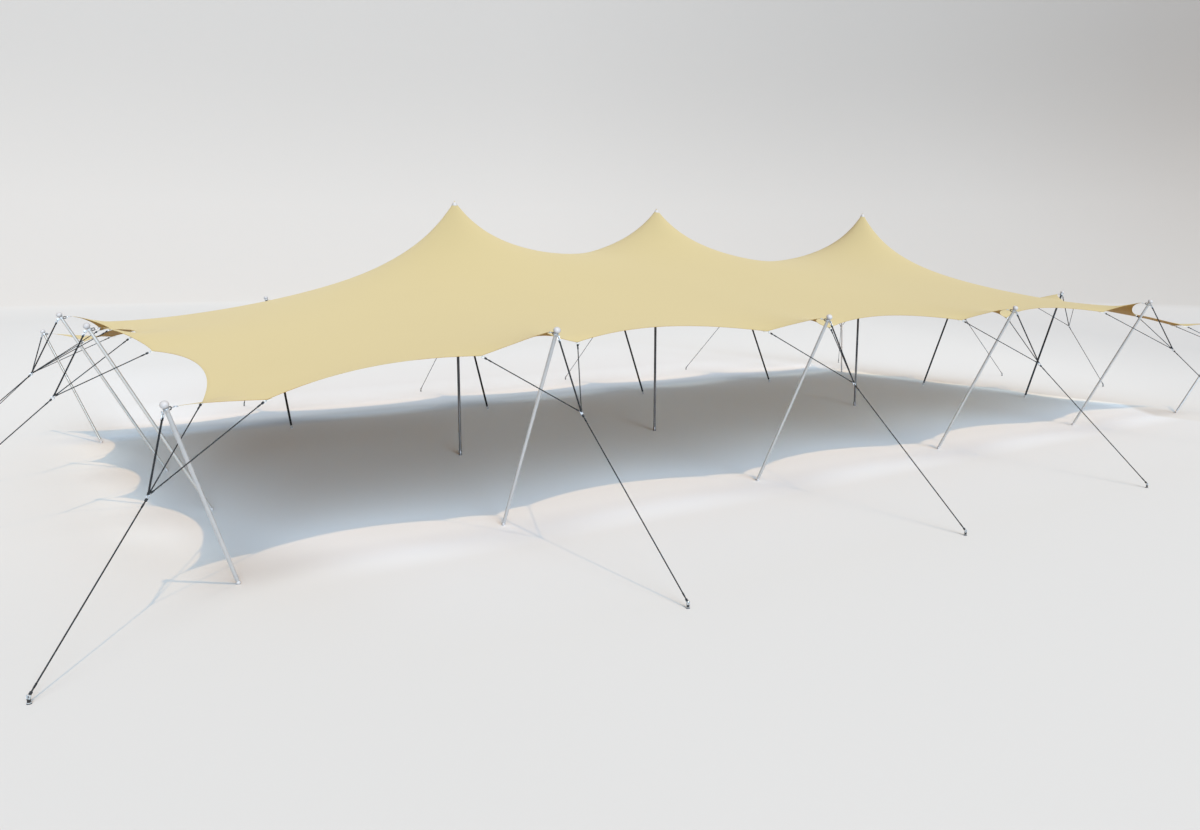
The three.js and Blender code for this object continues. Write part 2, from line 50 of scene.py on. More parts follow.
ANCHORS_ALONG = (-7.02, -2.34, 2.34, 7.02)
END_POLE_Y = 1.575
CORNER = Vector((11.375, 5.82, 2.125))
SIDE_HEAD_Z = 2.675
END_HEAD_Z = 2.65
SIDE_LEAN = 1.385
CORNER_LEAN = 0.755
KINGS = [Vector((-5.38, 0, 4.57)), Vector((-0.87, 0, 4.56)), Vector((5.355, 0, 4.64))]

# Cloth
CLOTH_THICKNESS = 0.004
TIP_SETBACK = 0.165
TIP_RISE = 0.01
CORNER_TIP_SETBACK = 0.147
LOOP_OUT = (0.673, 0.56, 2.5)  # along the edge, inward, height
LOOP_NEAR_CORNER = (0.7, 0.59, 2.398)
END_LOOP = (0.664, 0.6, 2.475)
END_LOOP_NEAR_CORNER = (0.715, 0.62, 2.383)
CORNER_LOOPS = ((1.067, 0.566, 2.02), (1.112, 0.549, 2.057))  # on the end edge, on the long edge
SCALLOP_SPAN = 3.35
SCALLOP_DEPTH = 0.33
END_CORNER_DEPTH = 0.37  # of the hollow between a corner and an end pole
END_MIDDLE_RISE = 0.05  # between the two poles of an end
RIGHT_CORNER_RISE = 0.08  # along a side, next to a right-hand corner
SCALLOP_RISE = 0.12
ARC_LEAVE, ARC_DROP, ARC_ARRIVE, ARC_RISE = 0.22, 0.11, 0.3, 0.25
ARC_STEPS = 6
SCALLOP_STEPS = 12
CAP_REACH = 0.104  # how far the cloth is tighter round a king pole's cap
SAG = 0.016
OVERSHOOT = 1.93  # of each step towards balance
START_ROUNDS, LOADED_ROUNDS = 300, 250
BAND_PULL = 9.0  # added tension along the line from loop to loop
BAND_WIDTH = 0.2
CROSS_PULL = ((-7.02, 0.6), (-2.34, 1.6), (7.02, 1.2))  # place along the tent, added tension across it
CROSS_WIDTH = 0.5
HEM_WIDTH = 0.03

# Poles
POLE_RADIUS = 0.023
POLE_SIDES = 28
KING_RADIUS = 0.024
FOOT_BALL = 0.027
FOOT_BALL_UP = 0.024
FOOT_NECK = 0.014
FOOT_LENGTH = 0.066
KING_FOOT_RADIUS = 0.031
KING_FOOT_LENGTH = 0.09
CAP_RADIUS = 0.045
CAP_RISE = 0.039
CAP_ABOVE = 0.045
COLLAR_BELOW = 0.01
COLLAR_RADIUS = 0.03
CLEVIS_OUT = 0.045
CLEVIS_DROP = 0.02
CHEEK_BACK, CHEEK_SPREAD = 0.01, 0.016  # of the two cheeks at the collar
PIN_RADIUS = 0.005
TIP_HOLD = 0.02  # from the collar's middle to the hold of the tip
TIP_GRIP = 0.012
TIP_LINK_RADIUS = 0.004
TIP_SHACKLE_AT, TIP_LINK_AT, TIP_EYE_AT = 0.22, 0.3, 0.78  # shares of the way from hold to grip
TIP_LINK_SHARE = 0.4
KING_NECK = 0.16  # from the peak down to the end of a king pole's tube
FOOT_REFLECTION_HEIGHTS = (1.35, 0.8)  # heights between which a king pole gets paler towards its foot: a painted reflection of the lit floor

# Ropes
STRAP_RADIUS = 0.01
BRIDLE_RADIUS = 0.0065
GUY_RADIUS = 0.007
HEAD_LINK = 0.067
SIDE_RING = (0.54, 1.776)  # outward from the head, height
END_RING = (0.48, 1.775)
CORNER_RING = (0.255, 0.232, 1.33)
RING_RADIUS = 0.018
RING_WIRE = 0.005
EYE_RADIUS = 0.015
EYE_WIRE = 0.0045
LOOP_EYE_RADIUS = 0.02
LOOP_GAP = 0.012
RING_LINK = 0.03  # from the ring to the end of a bridle rope
HEAD_EYES = (0.008, 0.034, 0.058)  # from the pin, along the thick rope
RING_EYE_IN = 0.011
KNOT_RADIUS, KNOT_LENGTH, KNOT_TURNS = 0.014, 0.03, 3
WHIPPING_RADIUS, WHIPPING_LENGTH, WHIPPING_TURNS = 0.0098, 0.045, 7
GUY_WHIPPING_AT, BRIDLE_WHIPPING_AT = 0.06, 0.055
STRAP_KNOT_IN = 0.01
TAB_BACK, TAB_WIDTH, TAB_THICKNESS = 0.07, 0.026, 0.007

# Anchors
ANCHOR_OUT = 2.475
CORNER_ANCHOR = (1.413, 1.3)
ANCHOR_PIN_Z = 0.062
ANCHOR_EYE_RADIUS = 0.01
ANCHOR_EYE_WIRE = 0.0035
ANCHOR_EYE_REST = 0.005  # from the pin's middle to the eye that hangs on it
YOKE_Z = 0.0445
PRONG_Y, PRONG_Z, PRONG_LEAN = 0.0153, 0.059, 5  # half the gap, height, degrees

X, Y, Z = Vector((1, 0, 0)), Vector((0, 1, 0)), Vector((0, 0, 1))


# Stations: where each edge pole stands, what it holds and where it is tied

class Station:
    def __init__(self, name, head, foot, tip, inward, loops, ring, anchor):
        self.name, self.head, self.foot, self.tip = name, head, foot, tip
        self.inward, self.loops, self.ring, self.anchor = inward, loops, ring, anchor
        self.lean = (head - foot).normalized()
        self.out = (head - foot).xy.to_3d().normalized()
        self.across = Vector((-self.out.y, self.out.x, 0))


def side_station(name, x, y, out, anchor_shift=0.0):
    across = Vector((-out.y, out.x, 0))
    at_end = abs(out.x) > 0
    head = Vector((x, y, END_HEAD_Z if at_end else SIDE_HEAD_Z))
    plain, outer = (END_LOOP, END_LOOP_NEAR_CORNER) if at_end else (LOOP_OUT, LOOP_NEAR_CORNER)
    loops = []
    for hand in (-1, 1):
        near_corner = abs(across.dot(head) + hand) > abs(across.dot(head))
        outermost = at_end or abs(x) > HALF_LENGTH / 2
        reach, inward, height = outer if near_corner and outermost else plain
        loops.append(Vector((x, y, height)) + across * hand * reach - out * inward)
    ring_out, ring_z = END_RING if at_end else SIDE_RING
    to_anchor = out * ANCHOR_OUT + X * anchor_shift
    return Station(
        name, head, Vector((x, y, 0)) - out * SIDE_LEAN,
        head - out * TIP_SETBACK + Z * TIP_RISE, -out, loops,
        Vector((x, y, ring_z)) + to_anchor * (ring_out / ANCHOR_OUT), Vector((x, y, 0)) + to_anchor,
    )


def corner_station(name, sx, sy):
    def place(x, y, z):
        return Vector((sx * (CORNER.x + x), sy * (CORNER.y + y), z))

    end_loop, long_loop = CORNER_LOOPS
    return Station(
        name, place(0, 0, CORNER.z), place(-CORNER_LEAN, -CORNER_LEAN, 0),
        place(-CORNER_TIP_SETBACK, -CORNER_TIP_SETBACK, CORNER.z),
        Vector((-sx, -sy, 0)).normalized(),
        [place(-end_loop[1], -end_loop[0], end_loop[2]), place(-long_loop[0], -long_loop[1], long_loop[2])],
        place(*CORNER_RING), place(*CORNER_ANCHOR, 0),
    )


PLACES = [(x, anchor - x) for x, anchor in zip(HEADS_ALONG, ANCHORS_ALONG)]
front = [side_station(f"front_{i + 1}", x, -HALF_WIDTH, -Y, shift) for i, (x, shift) in enumerate(PLACES)]
back = [side_station(f"back_{i + 1}", x, HALF_WIDTH, Y, shift) for i, (x, shift) in enumerate(PLACES)]
left = [side_station(f"left_{i + 1}", -HALF_LENGTH, s * END_POLE_Y, -X) for i, s in enumerate((-1, 1))]
right = [side_station(f"right_{i + 1}", HALF_LENGTH, s * END_POLE_Y, X) for i, s in enumerate((-1, 1))]
front_left = corner_station("corner_front_left", -1, -1)
front_right = corner_station("corner_front_right", 1, -1)
back_left = corner_station("corner_back_left", -1, 1)
back_right = corner_station("corner_back_right", 1, 1)
STATIONS = [*front, *back, *left, *right, front_left, front_right, back_left, back_right]


# Canopy net

def scallop(start, end, inward, depth, rise, steps):
    """The hollow edge between two loops, without its last point."""
    scale = (end - start).length / SCALLOP_SPAN
    points = []
    for i in range(steps):
        t = i / steps
        bow = 4 * t * (1 - t) * scale
        points.append(start.lerp(end, t) + inward * bow * depth + Z * bow * rise)
    return points


def tip_arc(station, loop, along, steps):
    """The edge from a station's tip to a loop: it leaves inwards and turns along the side."""
    size = (loop - station.tip).length
    climb = station.tip.z - loop.z
    back = 1 if (station.tip - loop).dot(along) > 0 else -1
    leave = station.tip + station.inward * size * ARC_LEAVE - Z * climb * ARC_DROP
    arrive = loop + along * back * size * ARC_ARRIVE + Z * climb * ARC_RISE
    points = []
    for i in range(steps + 1):
        t = i / steps
        u = 1 - t
        points.append(u**3 * station.tip + 3 * u * u * t * leave + 3 * u * t * t * arrive + t**3 * loop)
    return points


def edge_of(first, between, last, inward, along, corner_loop, fineness):
    """One side of the canopy, from the tip at one corner to the tip at the next."""
    arc, hollow = ARC_STEPS * fineness, SCALLOP_STEPS * fineness
    points, start, loop = [], first, first.loops[corner_loop]
    for station in [*between, last]:
        if station is last:
            before, after = last.loops[corner_loop], None
        else:
            before, after = sorted(station.loops, key=lambda p: p.dot(along))
        points += tip_arc(start, loop, along, arc)[:-1]
        at_corner = station is last or start is first
        depth, rise = SCALLOP_DEPTH, SCALLOP_RISE
        if corner_loop == 0 and at_corner:
            depth = END_CORNER_DEPTH
        elif corner_loop == 0:
            rise = END_MIDDLE_RISE
        elif station is last:
            rise = RIGHT_CORNER_RISE
        points += scallop(loop, before, inward, depth, rise, hollow)
        points += tip_arc(station, before, along, arc)[::-1][:-1]
        start, loop = station, after
    return np.array([*points, last.tip])


def edges_of_canopy(fineness):
    return (
        edge_of(front_left, front, front_right, Y, X, 1, fineness),
        edge_of(back_left, back, back_right, -Y, X, 1, fineness),
        edge_of(front_left, left, back_left, X, Y, 0, fineness),
        edge_of(front_right, right, back_right, -X, Y, 0, fineness),
    )


def put_edges(net, edges):
    near, far, start, finish = edges
    net[:, 0], net[:, -1], net[0], net[-1] = near, far, start, finish


def relax(net, free, ahead, aside, pull, rounds):
    """Moves each free point of the net to the balance of its four neighbours, by turns."""
    a, b = ahead[1:, 1:-1, None], ahead[:-1, 1:-1, None]
    c, d = aside[1:-1, 1:, None], aside[1:-1, :-1, None]
    total = a + b + c + d
    inner = net[1:-1, 1:-1]
    for _ in range(rounds):
        for turn in free:
            mean = a * net[2:, 1:-1] + b * net[:-2, 1:-1] + c * net[1:-1, 2:] + d * net[1:-1, :-2]
            mean[..., 2] -= pull
            inner[turn] += OVERSHOOT * (mean[turn] / total[turn] - inner[turn])


def tensions(net, kings):
    """Tension in each line of the net; it rises near the king poles' caps and from loop to loop."""
    def weigh(p, q):
        middle, line = ((p + q) / 2)[..., :2], (q - p)[..., :2]
        line = line / np.maximum(np.linalg.norm(line, axis=-1, keepdims=True), 1e-6)
        tension = np.ones(middle.shape[:2])
        for king in kings:
            away = np.maximum(np.linalg.norm(middle - king.xy, axis=-1), 0.02)
            tension += (CAP_REACH / away) ** 2
        for station in STATIONS:
            start, end = (np.array(loop.xy) for loop in station.loops)
            span = end - start
            share = np.clip(((middle - start) @ span) / (span @ span), 0, 1)
            away = np.linalg.norm(middle - start - share[..., None] * span, axis=-1)
            near = np.maximum(0, 1 - away / BAND_WIDTH)
            tension += BAND_PULL * near * (line @ (span / np.linalg.norm(span))) ** 2
        for x, pull in CROSS_PULL:
            near = np.maximum(0, 1 - np.abs(middle[..., 0] - x) / CROSS_WIDTH)
            tension += pull * near * line[..., 1] ** 2
        return tension

    return weigh(net[1:], net[:-1]), weigh(net[:, 1:], net[:, :-1])


def loads(net):
    cell = np.cross(net[2:, 1:-1] - net[:-2, 1:-1], net[1:-1, 2:] - net[1:-1, :-2])
    return SAG * np.linalg.norm(cell, axis=-1) / 4


def solved_net():
    edges = edges_of_canopy(1)
    wide, deep = len(edges[0]), len(edges[2])
    share = np.linspace(0, 1, deep)[None, :, None]
    net = edges[0][:, None] * (1 - share) + edges[1][:, None] * share
    put_edges(net, edges)
    i, j = np.meshgrid(range(1, wide - 1), range(1, deep - 1), indexing="ij")
    held = np.zeros((wide - 2, deep - 2), bool)
    turns = [((i + j) % 2 == n) & ~held for n in (0, 1)]
    weightless = np.zeros((wide - 2, deep - 2))
    relax(net, turns, *tensions(net, []), weightless, START_ROUNDS)
    middle = (deep - 1) // 2
    for king in KINGS:
        line = 1 + int(np.argmin(np.abs(net[1:-1, middle, 0] - king.x)))
        net[line, middle] = king
        held[line - 1, middle - 1] = True
    turns = [((i + j) % 2 == n) & ~held for n in (0, 1)]
    relax(net, turns, *tensions(net, []), weightless, START_ROUNDS)
    for _ in range(4):
        relax(net, turns, *tensions(net, KINGS), loads(net), LOADED_ROUNDS)
    return net


def halved(net):
    """Twice as many lines in the first direction, on smooth curves through the old points."""
    middle = np.empty((len(net) - 1, *net.shape[1:]))
    middle[1:-1] = (9 * (net[1:-2] + net[2:-1]) - net[:-3] - net[3:]) / 16
    middle[0] = (3 * net[0] + 6 * net[1] - net[2]) / 8
    middle[-1] = (3 * net[-1] + 6 * net[-2] - net[-3]) / 8
    finer = np.empty((2 * len(net) - 1, *net.shape[1:]))
    finer[::2], finer[1::2] = net, middle
    return finer


net = halved(halved(solved_net()).transpose(1, 0, 2)).transpose(1, 0, 2).copy()
put_edges(net, edges_of_canopy(2))


# Shader nodes

class Finish:
    """A material with one Principled shader, and short ways to add nodes to it."""

    def __init__(self, name, **sockets):
        self.material = bpy.data.materials.new(name)
        self.material.use_nodes = True
        self.tree = self.material.node_tree
        self.shader = self.tree.nodes["Principled BSDF"]
        for socket, value in sockets.items():
            self.shader.inputs[socket.replace("_", " ")].default_value = value

    def node(self, kind, settings=(), **inputs):
        return add_node(self.tree, kind, settings, **inputs)

    def wear(self, effect, **inputs):
        node = self.tree.nodes.new("ShaderNodeGroup")
        node.node_tree = effect
        feed(self.tree, node, inputs)
        return node

    def put(self, socket, output):
        self.tree.links.new(output, self.shader.inputs[socket])


def feed(tree, node, inputs):
    for name, value in inputs.items():
        key = int(name[1:]) if name[0] == "_" else name.replace("_", " ")
        socket = node.inputs[key]
        if isinstance(value, bpy.types.NodeSocket):
            tree.links.new(value, socket)
        else:
            socket.default_value = value


def add_node(tree, kind, settings=(), **inputs):
    node = tree.nodes.new("ShaderNode" + kind)
    for name, value in dict(settings).items():
        setattr(node, name, value)
    feed(tree, node, inputs)
    return node


def maths(tree, operation, a, b=0.0):
    return add_node(tree, "Math", {"operation": operation}, _0=a, _1=b).outputs[0]


def ranged(tree, value, start, end, low=0.0, high=1.0, smooth=False):
    """Goes from low to high while the value goes from start to end."""
    settings = {"interpolation_type": "SMOOTHSTEP"} if smooth else {}
    return add_node(tree, "MapRange", settings, _0=value, _1=start, _2=end, _3=low, _4=high).outputs[0]


def blend_of(tree, share, dark, light):
    mix = add_node(tree, "Mix", {"data_type": "RGBA"})
    feed(tree, mix, {"_0": share, "_6": dark, "_7": light})
    return mix.outputs[2]


def effect_of(name, inputs, outputs):
    """A shared node group; returns it with its input and output nodes."""
    tree = bpy.data.node_groups.new(name, "ShaderNodeTree")
    for label, kind, value in inputs:
        socket = tree.interface.new_socket(label, in_out="INPUT", socket_type="NodeSocket" + kind)
        if value is not None:
            socket.default_value = value
    for label, kind in outputs:
        tree.interface.new_socket(label, in_out="OUTPUT", socket_type="NodeSocket" + kind)
    return tree, tree.nodes.new("NodeGroupInput"), tree.nodes.new("NodeGroupOutput")


def thread_weave():
    """Over-and-under threads: a height, and a mask of the gaps between the threads."""
    tree, given, result = effect_of(
        "thread weave",
        [("Surface", "Vector", None), ("Threads per metre", "Float", 900.0)],
        [("Height", "Float"), ("Gap", "Float")],
    )
    place = add_node(tree, "SeparateXYZ", (), _0=given.outputs["Surface"])
    waves = []
    for axis in (0, 1):
        turns = maths(tree, "MULTIPLY", place.outputs[axis], given.outputs["Threads per metre"])
        waves.append(maths(tree, "SINE", maths(tree, "MULTIPLY", turns, tau)))
    height = maths(tree, "MULTIPLY", waves[0], waves[1])
    tree.links.new(height, result.inputs["Height"])
    tree.links.new(maths(tree, "LESS_THAN", height, -0.6), result.inputs["Gap"])
    return tree


def scuffing():
    """Patchy handling marks: a mask of dull patches and one of fine scratches."""
    tree, given, result = effect_of(
        "scuffing",
        [
            ("Place", "Vector", None),
            ("Patches per metre", "Float", 9.0),
            ("Scratches per metre", "Float", 160.0),
        ],
        [("Patches", "Float"), ("Scratches", "Float")],
    )
    place, patch_scale, scratch_scale = given.outputs[0], given.outputs[1], given.outputs[2]
    patch = add_node(tree, "TexNoise", (), Vector=place, Scale=patch_scale, Detail=5.0, Roughness=0.6)
    fine = add_node(tree, "TexNoise", (), Vector=place, Scale=scratch_scale, Detail=3.0, Roughness=0.7)
    tree.links.new(ranged(tree, patch.outputs[0], 0.42, 0.68), result.inputs["Patches"])
    tree.links.new(ranged(tree, fine.outputs[0], 0.58, 0.7), result.inputs["Scratches"])
    return tree


WEAVE = thread_weave()
SCUFFS = scuffing()


def object_place(finish):
    return finish.node("TexCoord").outputs["Object"]


def surface_place(finish):
    return finish.node("UVMap", {"uv_map": "surface"}).outputs[0]


def bumped(finish, height, depth, strength=0.5):
    bump = finish.node("Bump", (), Strength=strength, Distance=depth, Height=height)
    finish.put("Normal", bump.outputs[0])


def stretch_cloth():
    """Matt knit cloth: sand above, with a turned hem along its edge; the darker brown below is painted
    shade and painted light through the cloth.
    """
    finish = Finish("stretch cloth", Roughness=0.8, Diffuse_Roughness=0.65, Sheen_Weight=0.05,
                    Sheen_Roughness=0.5, Specular_IOR_Level=0.2)
    tree = finish.tree
    place, surface = object_place(finish), surface_place(finish)
    below = finish.node("Attribute", {"attribute_name": "underside"}).outputs["Fac"]
    from_edge = finish.node("Attribute", {"attribute_name": "from_edge"}).outputs["Fac"]
    tone = finish.node("TexNoise", (), Vector=place, Scale=0.35, Detail=3.0, Roughness=0.5)
    speck = finish.node("TexNoise", (), Vector=surface, Scale=45.0, Detail=4.0, Roughness=0.65)
    upper = blend_of(tree, tone.outputs[0], (0.448, 0.336, 0.164, 1), (0.467, 0.351, 0.172, 1))
    # painted shade and light through the cloth: the underside darker and browner than the top
    painted_underside = blend_of(tree, tone.outputs[0], (0.35, 0.172, 0.014, 1), (0.37, 0.188, 0.018, 1))
    colour = blend_of(tree, below, upper, painted_underside)
    worn = blend_of(tree, maths(tree, "MULTIPLY", speck.outputs[0], 0.16), colour, (0.385, 0.27, 0.112, 1))
    hem = maths(tree, "LESS_THAN", from_edge, HEM_WIDTH)
    colour = blend_of(tree, maths(tree, "MULTIPLY", hem, 0.1), worn, (0.3, 0.21, 0.085, 1))
    finish.put("Base Color", colour)
    weave = finish.wear(WEAVE, Surface=surface, Threads_per_metre=700.0)
    finish.put("Roughness", ranged(tree, speck.outputs[0], 0.0, 1.0, 0.74, 0.88))
    seam = maths(tree, "MULTIPLY", hem, 1.2)
    height = maths(tree, "ADD", maths(tree, "MULTIPLY", weave.outputs["Height"], 0.3), seam)
    bumped(finish, height, 0.0008, 0.4)
    return finish.material


def satin_tube(name, bright, dull, metal=0.8, low=None):
    """Drawn metal tube with fine lines and a few handling marks; low is a paler colour near its foot, a
    painted reflection of the lit floor.
    """
    finish = Finish(name, Metallic=metal, Roughness=0.38)
    tree = finish.tree
    place, surface = object_place(finish), surface_place(finish)
    scuffs = finish.wear(SCUFFS, Place=place, Patches_per_metre=7.0, Scratches_per_metre=120.0)
    stretched = finish.node("Mapping", (), Vector=surface, Scale=(90.0, 1.2, 1.0))
    drawn = finish.node("TexNoise", (), Vector=stretched.outputs[0], Scale=1.0, Detail=3.0)
    colour = blend_of(tree, scuffs.outputs["Patches"], bright, dull)
    lined = blend_of(tree, maths(tree, "MULTIPLY", drawn.outputs[0], 0.25), colour, dull)
    if low:
        up = finish.node("SeparateXYZ", (), _0=place).outputs[2]
        lined = blend_of(tree, ranged(tree, up, *FOOT_REFLECTION_HEIGHTS, smooth=True), lined, low)
    finish.put("Base Color", lined)
    finish.put("Roughness", ranged(tree, scuffs.outputs["Patches"], 0.0, 1.0, 0.3, 0.48))
    cut = maths(tree, "MULTIPLY", scuffs.outputs["Scratches"], -0.6)
    bumped(finish, maths(tree, "ADD", drawn.outputs[0], cut), 0.0003, 0.35)
    return finish.material


def moulded(name, pale, dark, roughness):
    """Moulded plastic or rubber with a fine pebble and rubbed patches."""
    finish = Finish(name, Roughness=roughness, Specular_IOR_Level=0.45)
    tree = finish.tree
    place = object_place(finish)
    scuffs = finish.wear(SCUFFS, Place=place, Patches_per_metre=28.0, Scratches_per_metre=260.0)
    finish.put("Base Color", blend_of(tree, scuffs.outputs["Patches"], pale, dark))
    rough = ranged(tree, scuffs.outputs["Patches"], 0.0, 1.0, roughness - 0.08, roughness + 0.1)
    finish.put("Roughness", rough)
    pebble = finish.node("TexVoronoi", (), Vector=place, Scale=700.0)
    height = maths(tree, "SUBTRACT", pebble.outputs["Distance"], scuffs.outputs["Scratches"])
    bumped(finish, height, 0.0004, 0.3)
    return finish.material


def braided_rope():
    """Plaited cover: two sets of strands crossing round the rope, with pale marker strands."""
    finish = Finish("braided rope", Roughness=0.78, Specular_IOR_Level=0.3, Sheen_Weight=0.05,
                    Sheen_Roughness=0.6)
    tree = finish.tree
    place = finish.node("SeparateXYZ", (), _0=surface_place(finish))
    round_turns = maths(tree, "MULTIPLY", place.outputs[0], 4.0)
    along = maths(tree, "MULTIPLY", place.outputs[1], 42.0)
    crossing = []
    for way in ("ADD", "SUBTRACT"):
        wave = maths(tree, "SINE", maths(tree, "MULTIPLY", maths(tree, way, round_turns, along), tau))
        crossing.append(wave)
    plait = maths(tree, "MULTIPLY", crossing[0], crossing[1])
    marker = maths(tree, "GREATER_THAN", crossing[0], 0.93)
    fibre = finish.node("TexNoise", (), Vector=surface_place(finish), Scale=260.0, Detail=3.0)
    dark = blend_of(tree, fibre.outputs[0], (0.004, 0.004, 0.004, 1), (0.012, 0.012, 0.012, 1))
    ridged = blend_of(tree, ranged(tree, plait, -1.0, 1.0), dark, (0.018, 0.018, 0.019, 1))
    marked = maths(tree, "MULTIPLY", marker, 0.4)
    finish.put("Base Color", blend_of(tree, marked, ridged, (0.06, 0.06, 0.06, 1)))
    finish.put("Roughness", ranged(tree, fibre.outputs[0], 0.0, 1.0, 0.68, 0.88))
    bumped(finish, maths(tree, "ADD", plait, fibre.outputs[0]), 0.0012, 0.8)
    return finish.material


def webbing():
    """Dark woven cover of the thick rope at a pole's head."""
    finish = Finish("strap webbing", Roughness=0.75, Specular_IOR_Level=0.3, Sheen_Weight=0.05,
                    Sheen_Roughness=0.5)
    tree = finish.tree
    surface = surface_place(finish)
    weave = finish.wear(WEAVE, Surface=surface, Threads_per_metre=330.0)
    fuzz = finish.node("TexNoise", (), Vector=surface, Scale=180.0, Detail=3.0)
    colour = blend_of(tree, fuzz.outputs[0], (0.006, 0.006, 0.006, 1), (0.018, 0.018, 0.019, 1))
    gap = maths(tree, "MULTIPLY", weave.outputs["Gap"], 0.6)
    finish.put("Base Color", blend_of(tree, gap, colour, (0.005, 0.005, 0.006, 1)))
    finish.put("Roughness", ranged(tree, fuzz.outputs[0], 0.0, 1.0, 0.65, 0.85))
    bumped(finish, weave.outputs["Height"], 0.0008, 0.7)
    return finish.material


def steel(name, bright, dull, roughness):
    """Small steel fittings, dulled in patches."""
    finish = Finish(name, Metallic=0.9, Roughness=roughness)
    tree, place = finish.tree, object_place(finish)
    scuffs = finish.wear(SCUFFS, Place=place, Patches_per_metre=40.0, Scratches_per_metre=420.0)
    finish.put("Base Color", blend_of(tree, scuffs.outputs["Patches"], bright, dull))
    rough = ranged(tree, scuffs.outputs["Patches"], 0.0, 1.0, roughness - 0.06, roughness + 0.16)
    finish.put("Roughness", rough)
    bumped(finish, scuffs.outputs["Scratches"], 0.0002, 0.3)
    return finish.material


CLOTH = stretch_cloth()
# Painted shade: the king poles' tube is nearly black because they stand in the canopy's shade.
KING_SHADE_TUBE = satin_tube("king pole tube with painted shade", (0.066, 0.06, 0.057, 1), (0.047, 0.043, 0.041, 1),
                       low=(0.165, 0.145, 0.135, 1))
KING_SLEEVE = satin_tube("king pole sleeve", (0.2, 0.168, 0.15, 1), (0.155, 0.13, 0.117, 1))
EDGE_TUBE = satin_tube("edge pole tube", (0.53, 0.508, 0.488, 1), (0.48, 0.462, 0.446, 1), 0.5)
# Painted light: a warmer copy of the edge pole tube for the left end, against the lamps' bluish light
# there.
LEFT_LIGHT_TUNED_TUBE = satin_tube("left end tube with painted light", (0.54, 0.498, 0.45, 1), (0.49, 0.452, 0.41, 1), 0.5)
# Painted shade: a darker copy of the edge pole tube for the back left corner.
CORNER_SHADE_TUBE = satin_tube("back left corner tube with painted shade", (0.41, 0.36, 0.31, 1), (0.365, 0.322, 0.277, 1), 0.5)
# Painted shade: a nearly black copy of the edge pole tube for the back row and the right-hand end.
SHADE_DARKENED_TUBE = satin_tube("back row tube", (0.03, 0.031, 0.032, 1), (0.018, 0.019, 0.02, 1))
CAP_PLASTIC = moulded("white cap plastic", (0.465, 0.415, 0.385, 1), (0.415, 0.37, 0.342, 1), 0.55)
DARK_RUBBER = moulded("dark rubber", (0.03, 0.03, 0.032, 1), (0.075, 0.073, 0.07, 1), 0.68)
ROPE = braided_rope()
STRAP = webbing()
RING_STEEL = steel("galvanised ring steel", (0.6, 0.61, 0.62, 1), (0.45, 0.46, 0.47, 1), 0.4)
ANCHOR_STEEL = steel("blackened anchor steel", (0.055, 0.056, 0.06, 1), (0.12, 0.115, 0.11, 1), 0.5)
ANCHOR_TOP = moulded("pale anchor cap", (0.45, 0.45, 0.44, 1), (0.34, 0.34, 0.33, 1), 0.5)
TAB_WEBBING = moulded("pale tab webbing", (0.78, 0.75, 0.66, 1), (0.66, 0.62, 0.52, 1), 0.75)


# Parts: each is a small mesh along +Z that is copied to its places

def kept(bm):
    """The bmesh as a part: merged, with its faces outwards."""
    mesh = bpy.data.meshes.new("part")
    bmesh.ops.remove_doubles(bm, verts=bm.verts, dist=1e-6)
    bmesh.ops.recalc_face_normals(bm, faces=bm.faces)
    bm.to_mesh(mesh)
    bm.free()
    return mesh


def wrap_surface(bm, radius):
    """Lays the surface map: turns round the part, and metres along it."""
    layer = bm.loops.layers.uv.new("surface")
    for face in bm.faces:
        turns = [atan2(loop.vert.co.y, loop.vert.co.x) / tau for loop in face.loops]
        if max(turns) - min(turns) > 0.5:
            turns = [t + 1 if t < 0 else t for t in turns]
        for loop, turn in zip(face.loops, turns):
            loop[layer].uv = (turn * tau * radius if radius else turn, loop.vert.co.z)


def turned(profile, sides=24, radius=None):
    """A turned part; its profile is (radius, height) pairs from the bottom up."""
    bm = bmesh.new()
    points = [bm.verts.new((r, 0, h)) for r, h in profile]
    lines = [bm.edges.new(pair) for pair in zip(points, points[1:])]
    bmesh.ops.spin(bm, geom=points + lines, cent=(0, 0, 0), axis=(0, 0, 1), angle=tau, steps=sides,
                   use_merge=True)
    bmesh.ops.remove_doubles(bm, verts=bm.verts, dist=1e-6)
    wrap_surface(bm, radius)
    return kept(bm)


def hoop(radius, wire, stretch=0.0, sides=20, wire_sides=8):
    """A ring in the XZ plane, or a long link if it is stretched along Z."""
    bm = bmesh.new()
    place = Matrix.Translation((radius, 0, 0))
    made = bmesh.ops.create_circle(bm, segments=wire_sides, radius=wire, matrix=place)
    edges = list({edge for vert in made["verts"] for edge in vert.link_edges})
    bmesh.ops.spin(bm, geom=made["verts"] + edges, cent=(0, 0, 0), axis=(0, 1, 0), angle=tau, steps=sides,
                   use_merge=True)
    bmesh.ops.remove_doubles(bm, verts=bm.verts, dist=1e-6)
    for vert in bm.verts:
        vert.co.z += stretch if vert.co.z > 1e-5 else -stretch if vert.co.z < -1e-5 else 0
    bm.loops.layers.uv.new("surface")
    return kept(bm)


def rounded_block(x, y, z, edge=0.002):
    bm = bmesh.new()
    bmesh.ops.create_cube(bm, size=1, matrix=Matrix.Diagonal((x, y, z, 1)))
    bmesh.ops.bevel(bm, geom=bm.edges[:], offset=edge, segments=2, profile=0.5, affect="EDGES",
                    material=-1)
    layer = bm.loops.layers.uv.new("surface")
    for face in bm.faces:
        for loop in face.loops:
            loop[layer].uv = (loop.vert.co.x + loop.vert.co.y, loop.vert.co.z)
    return kept(bm)


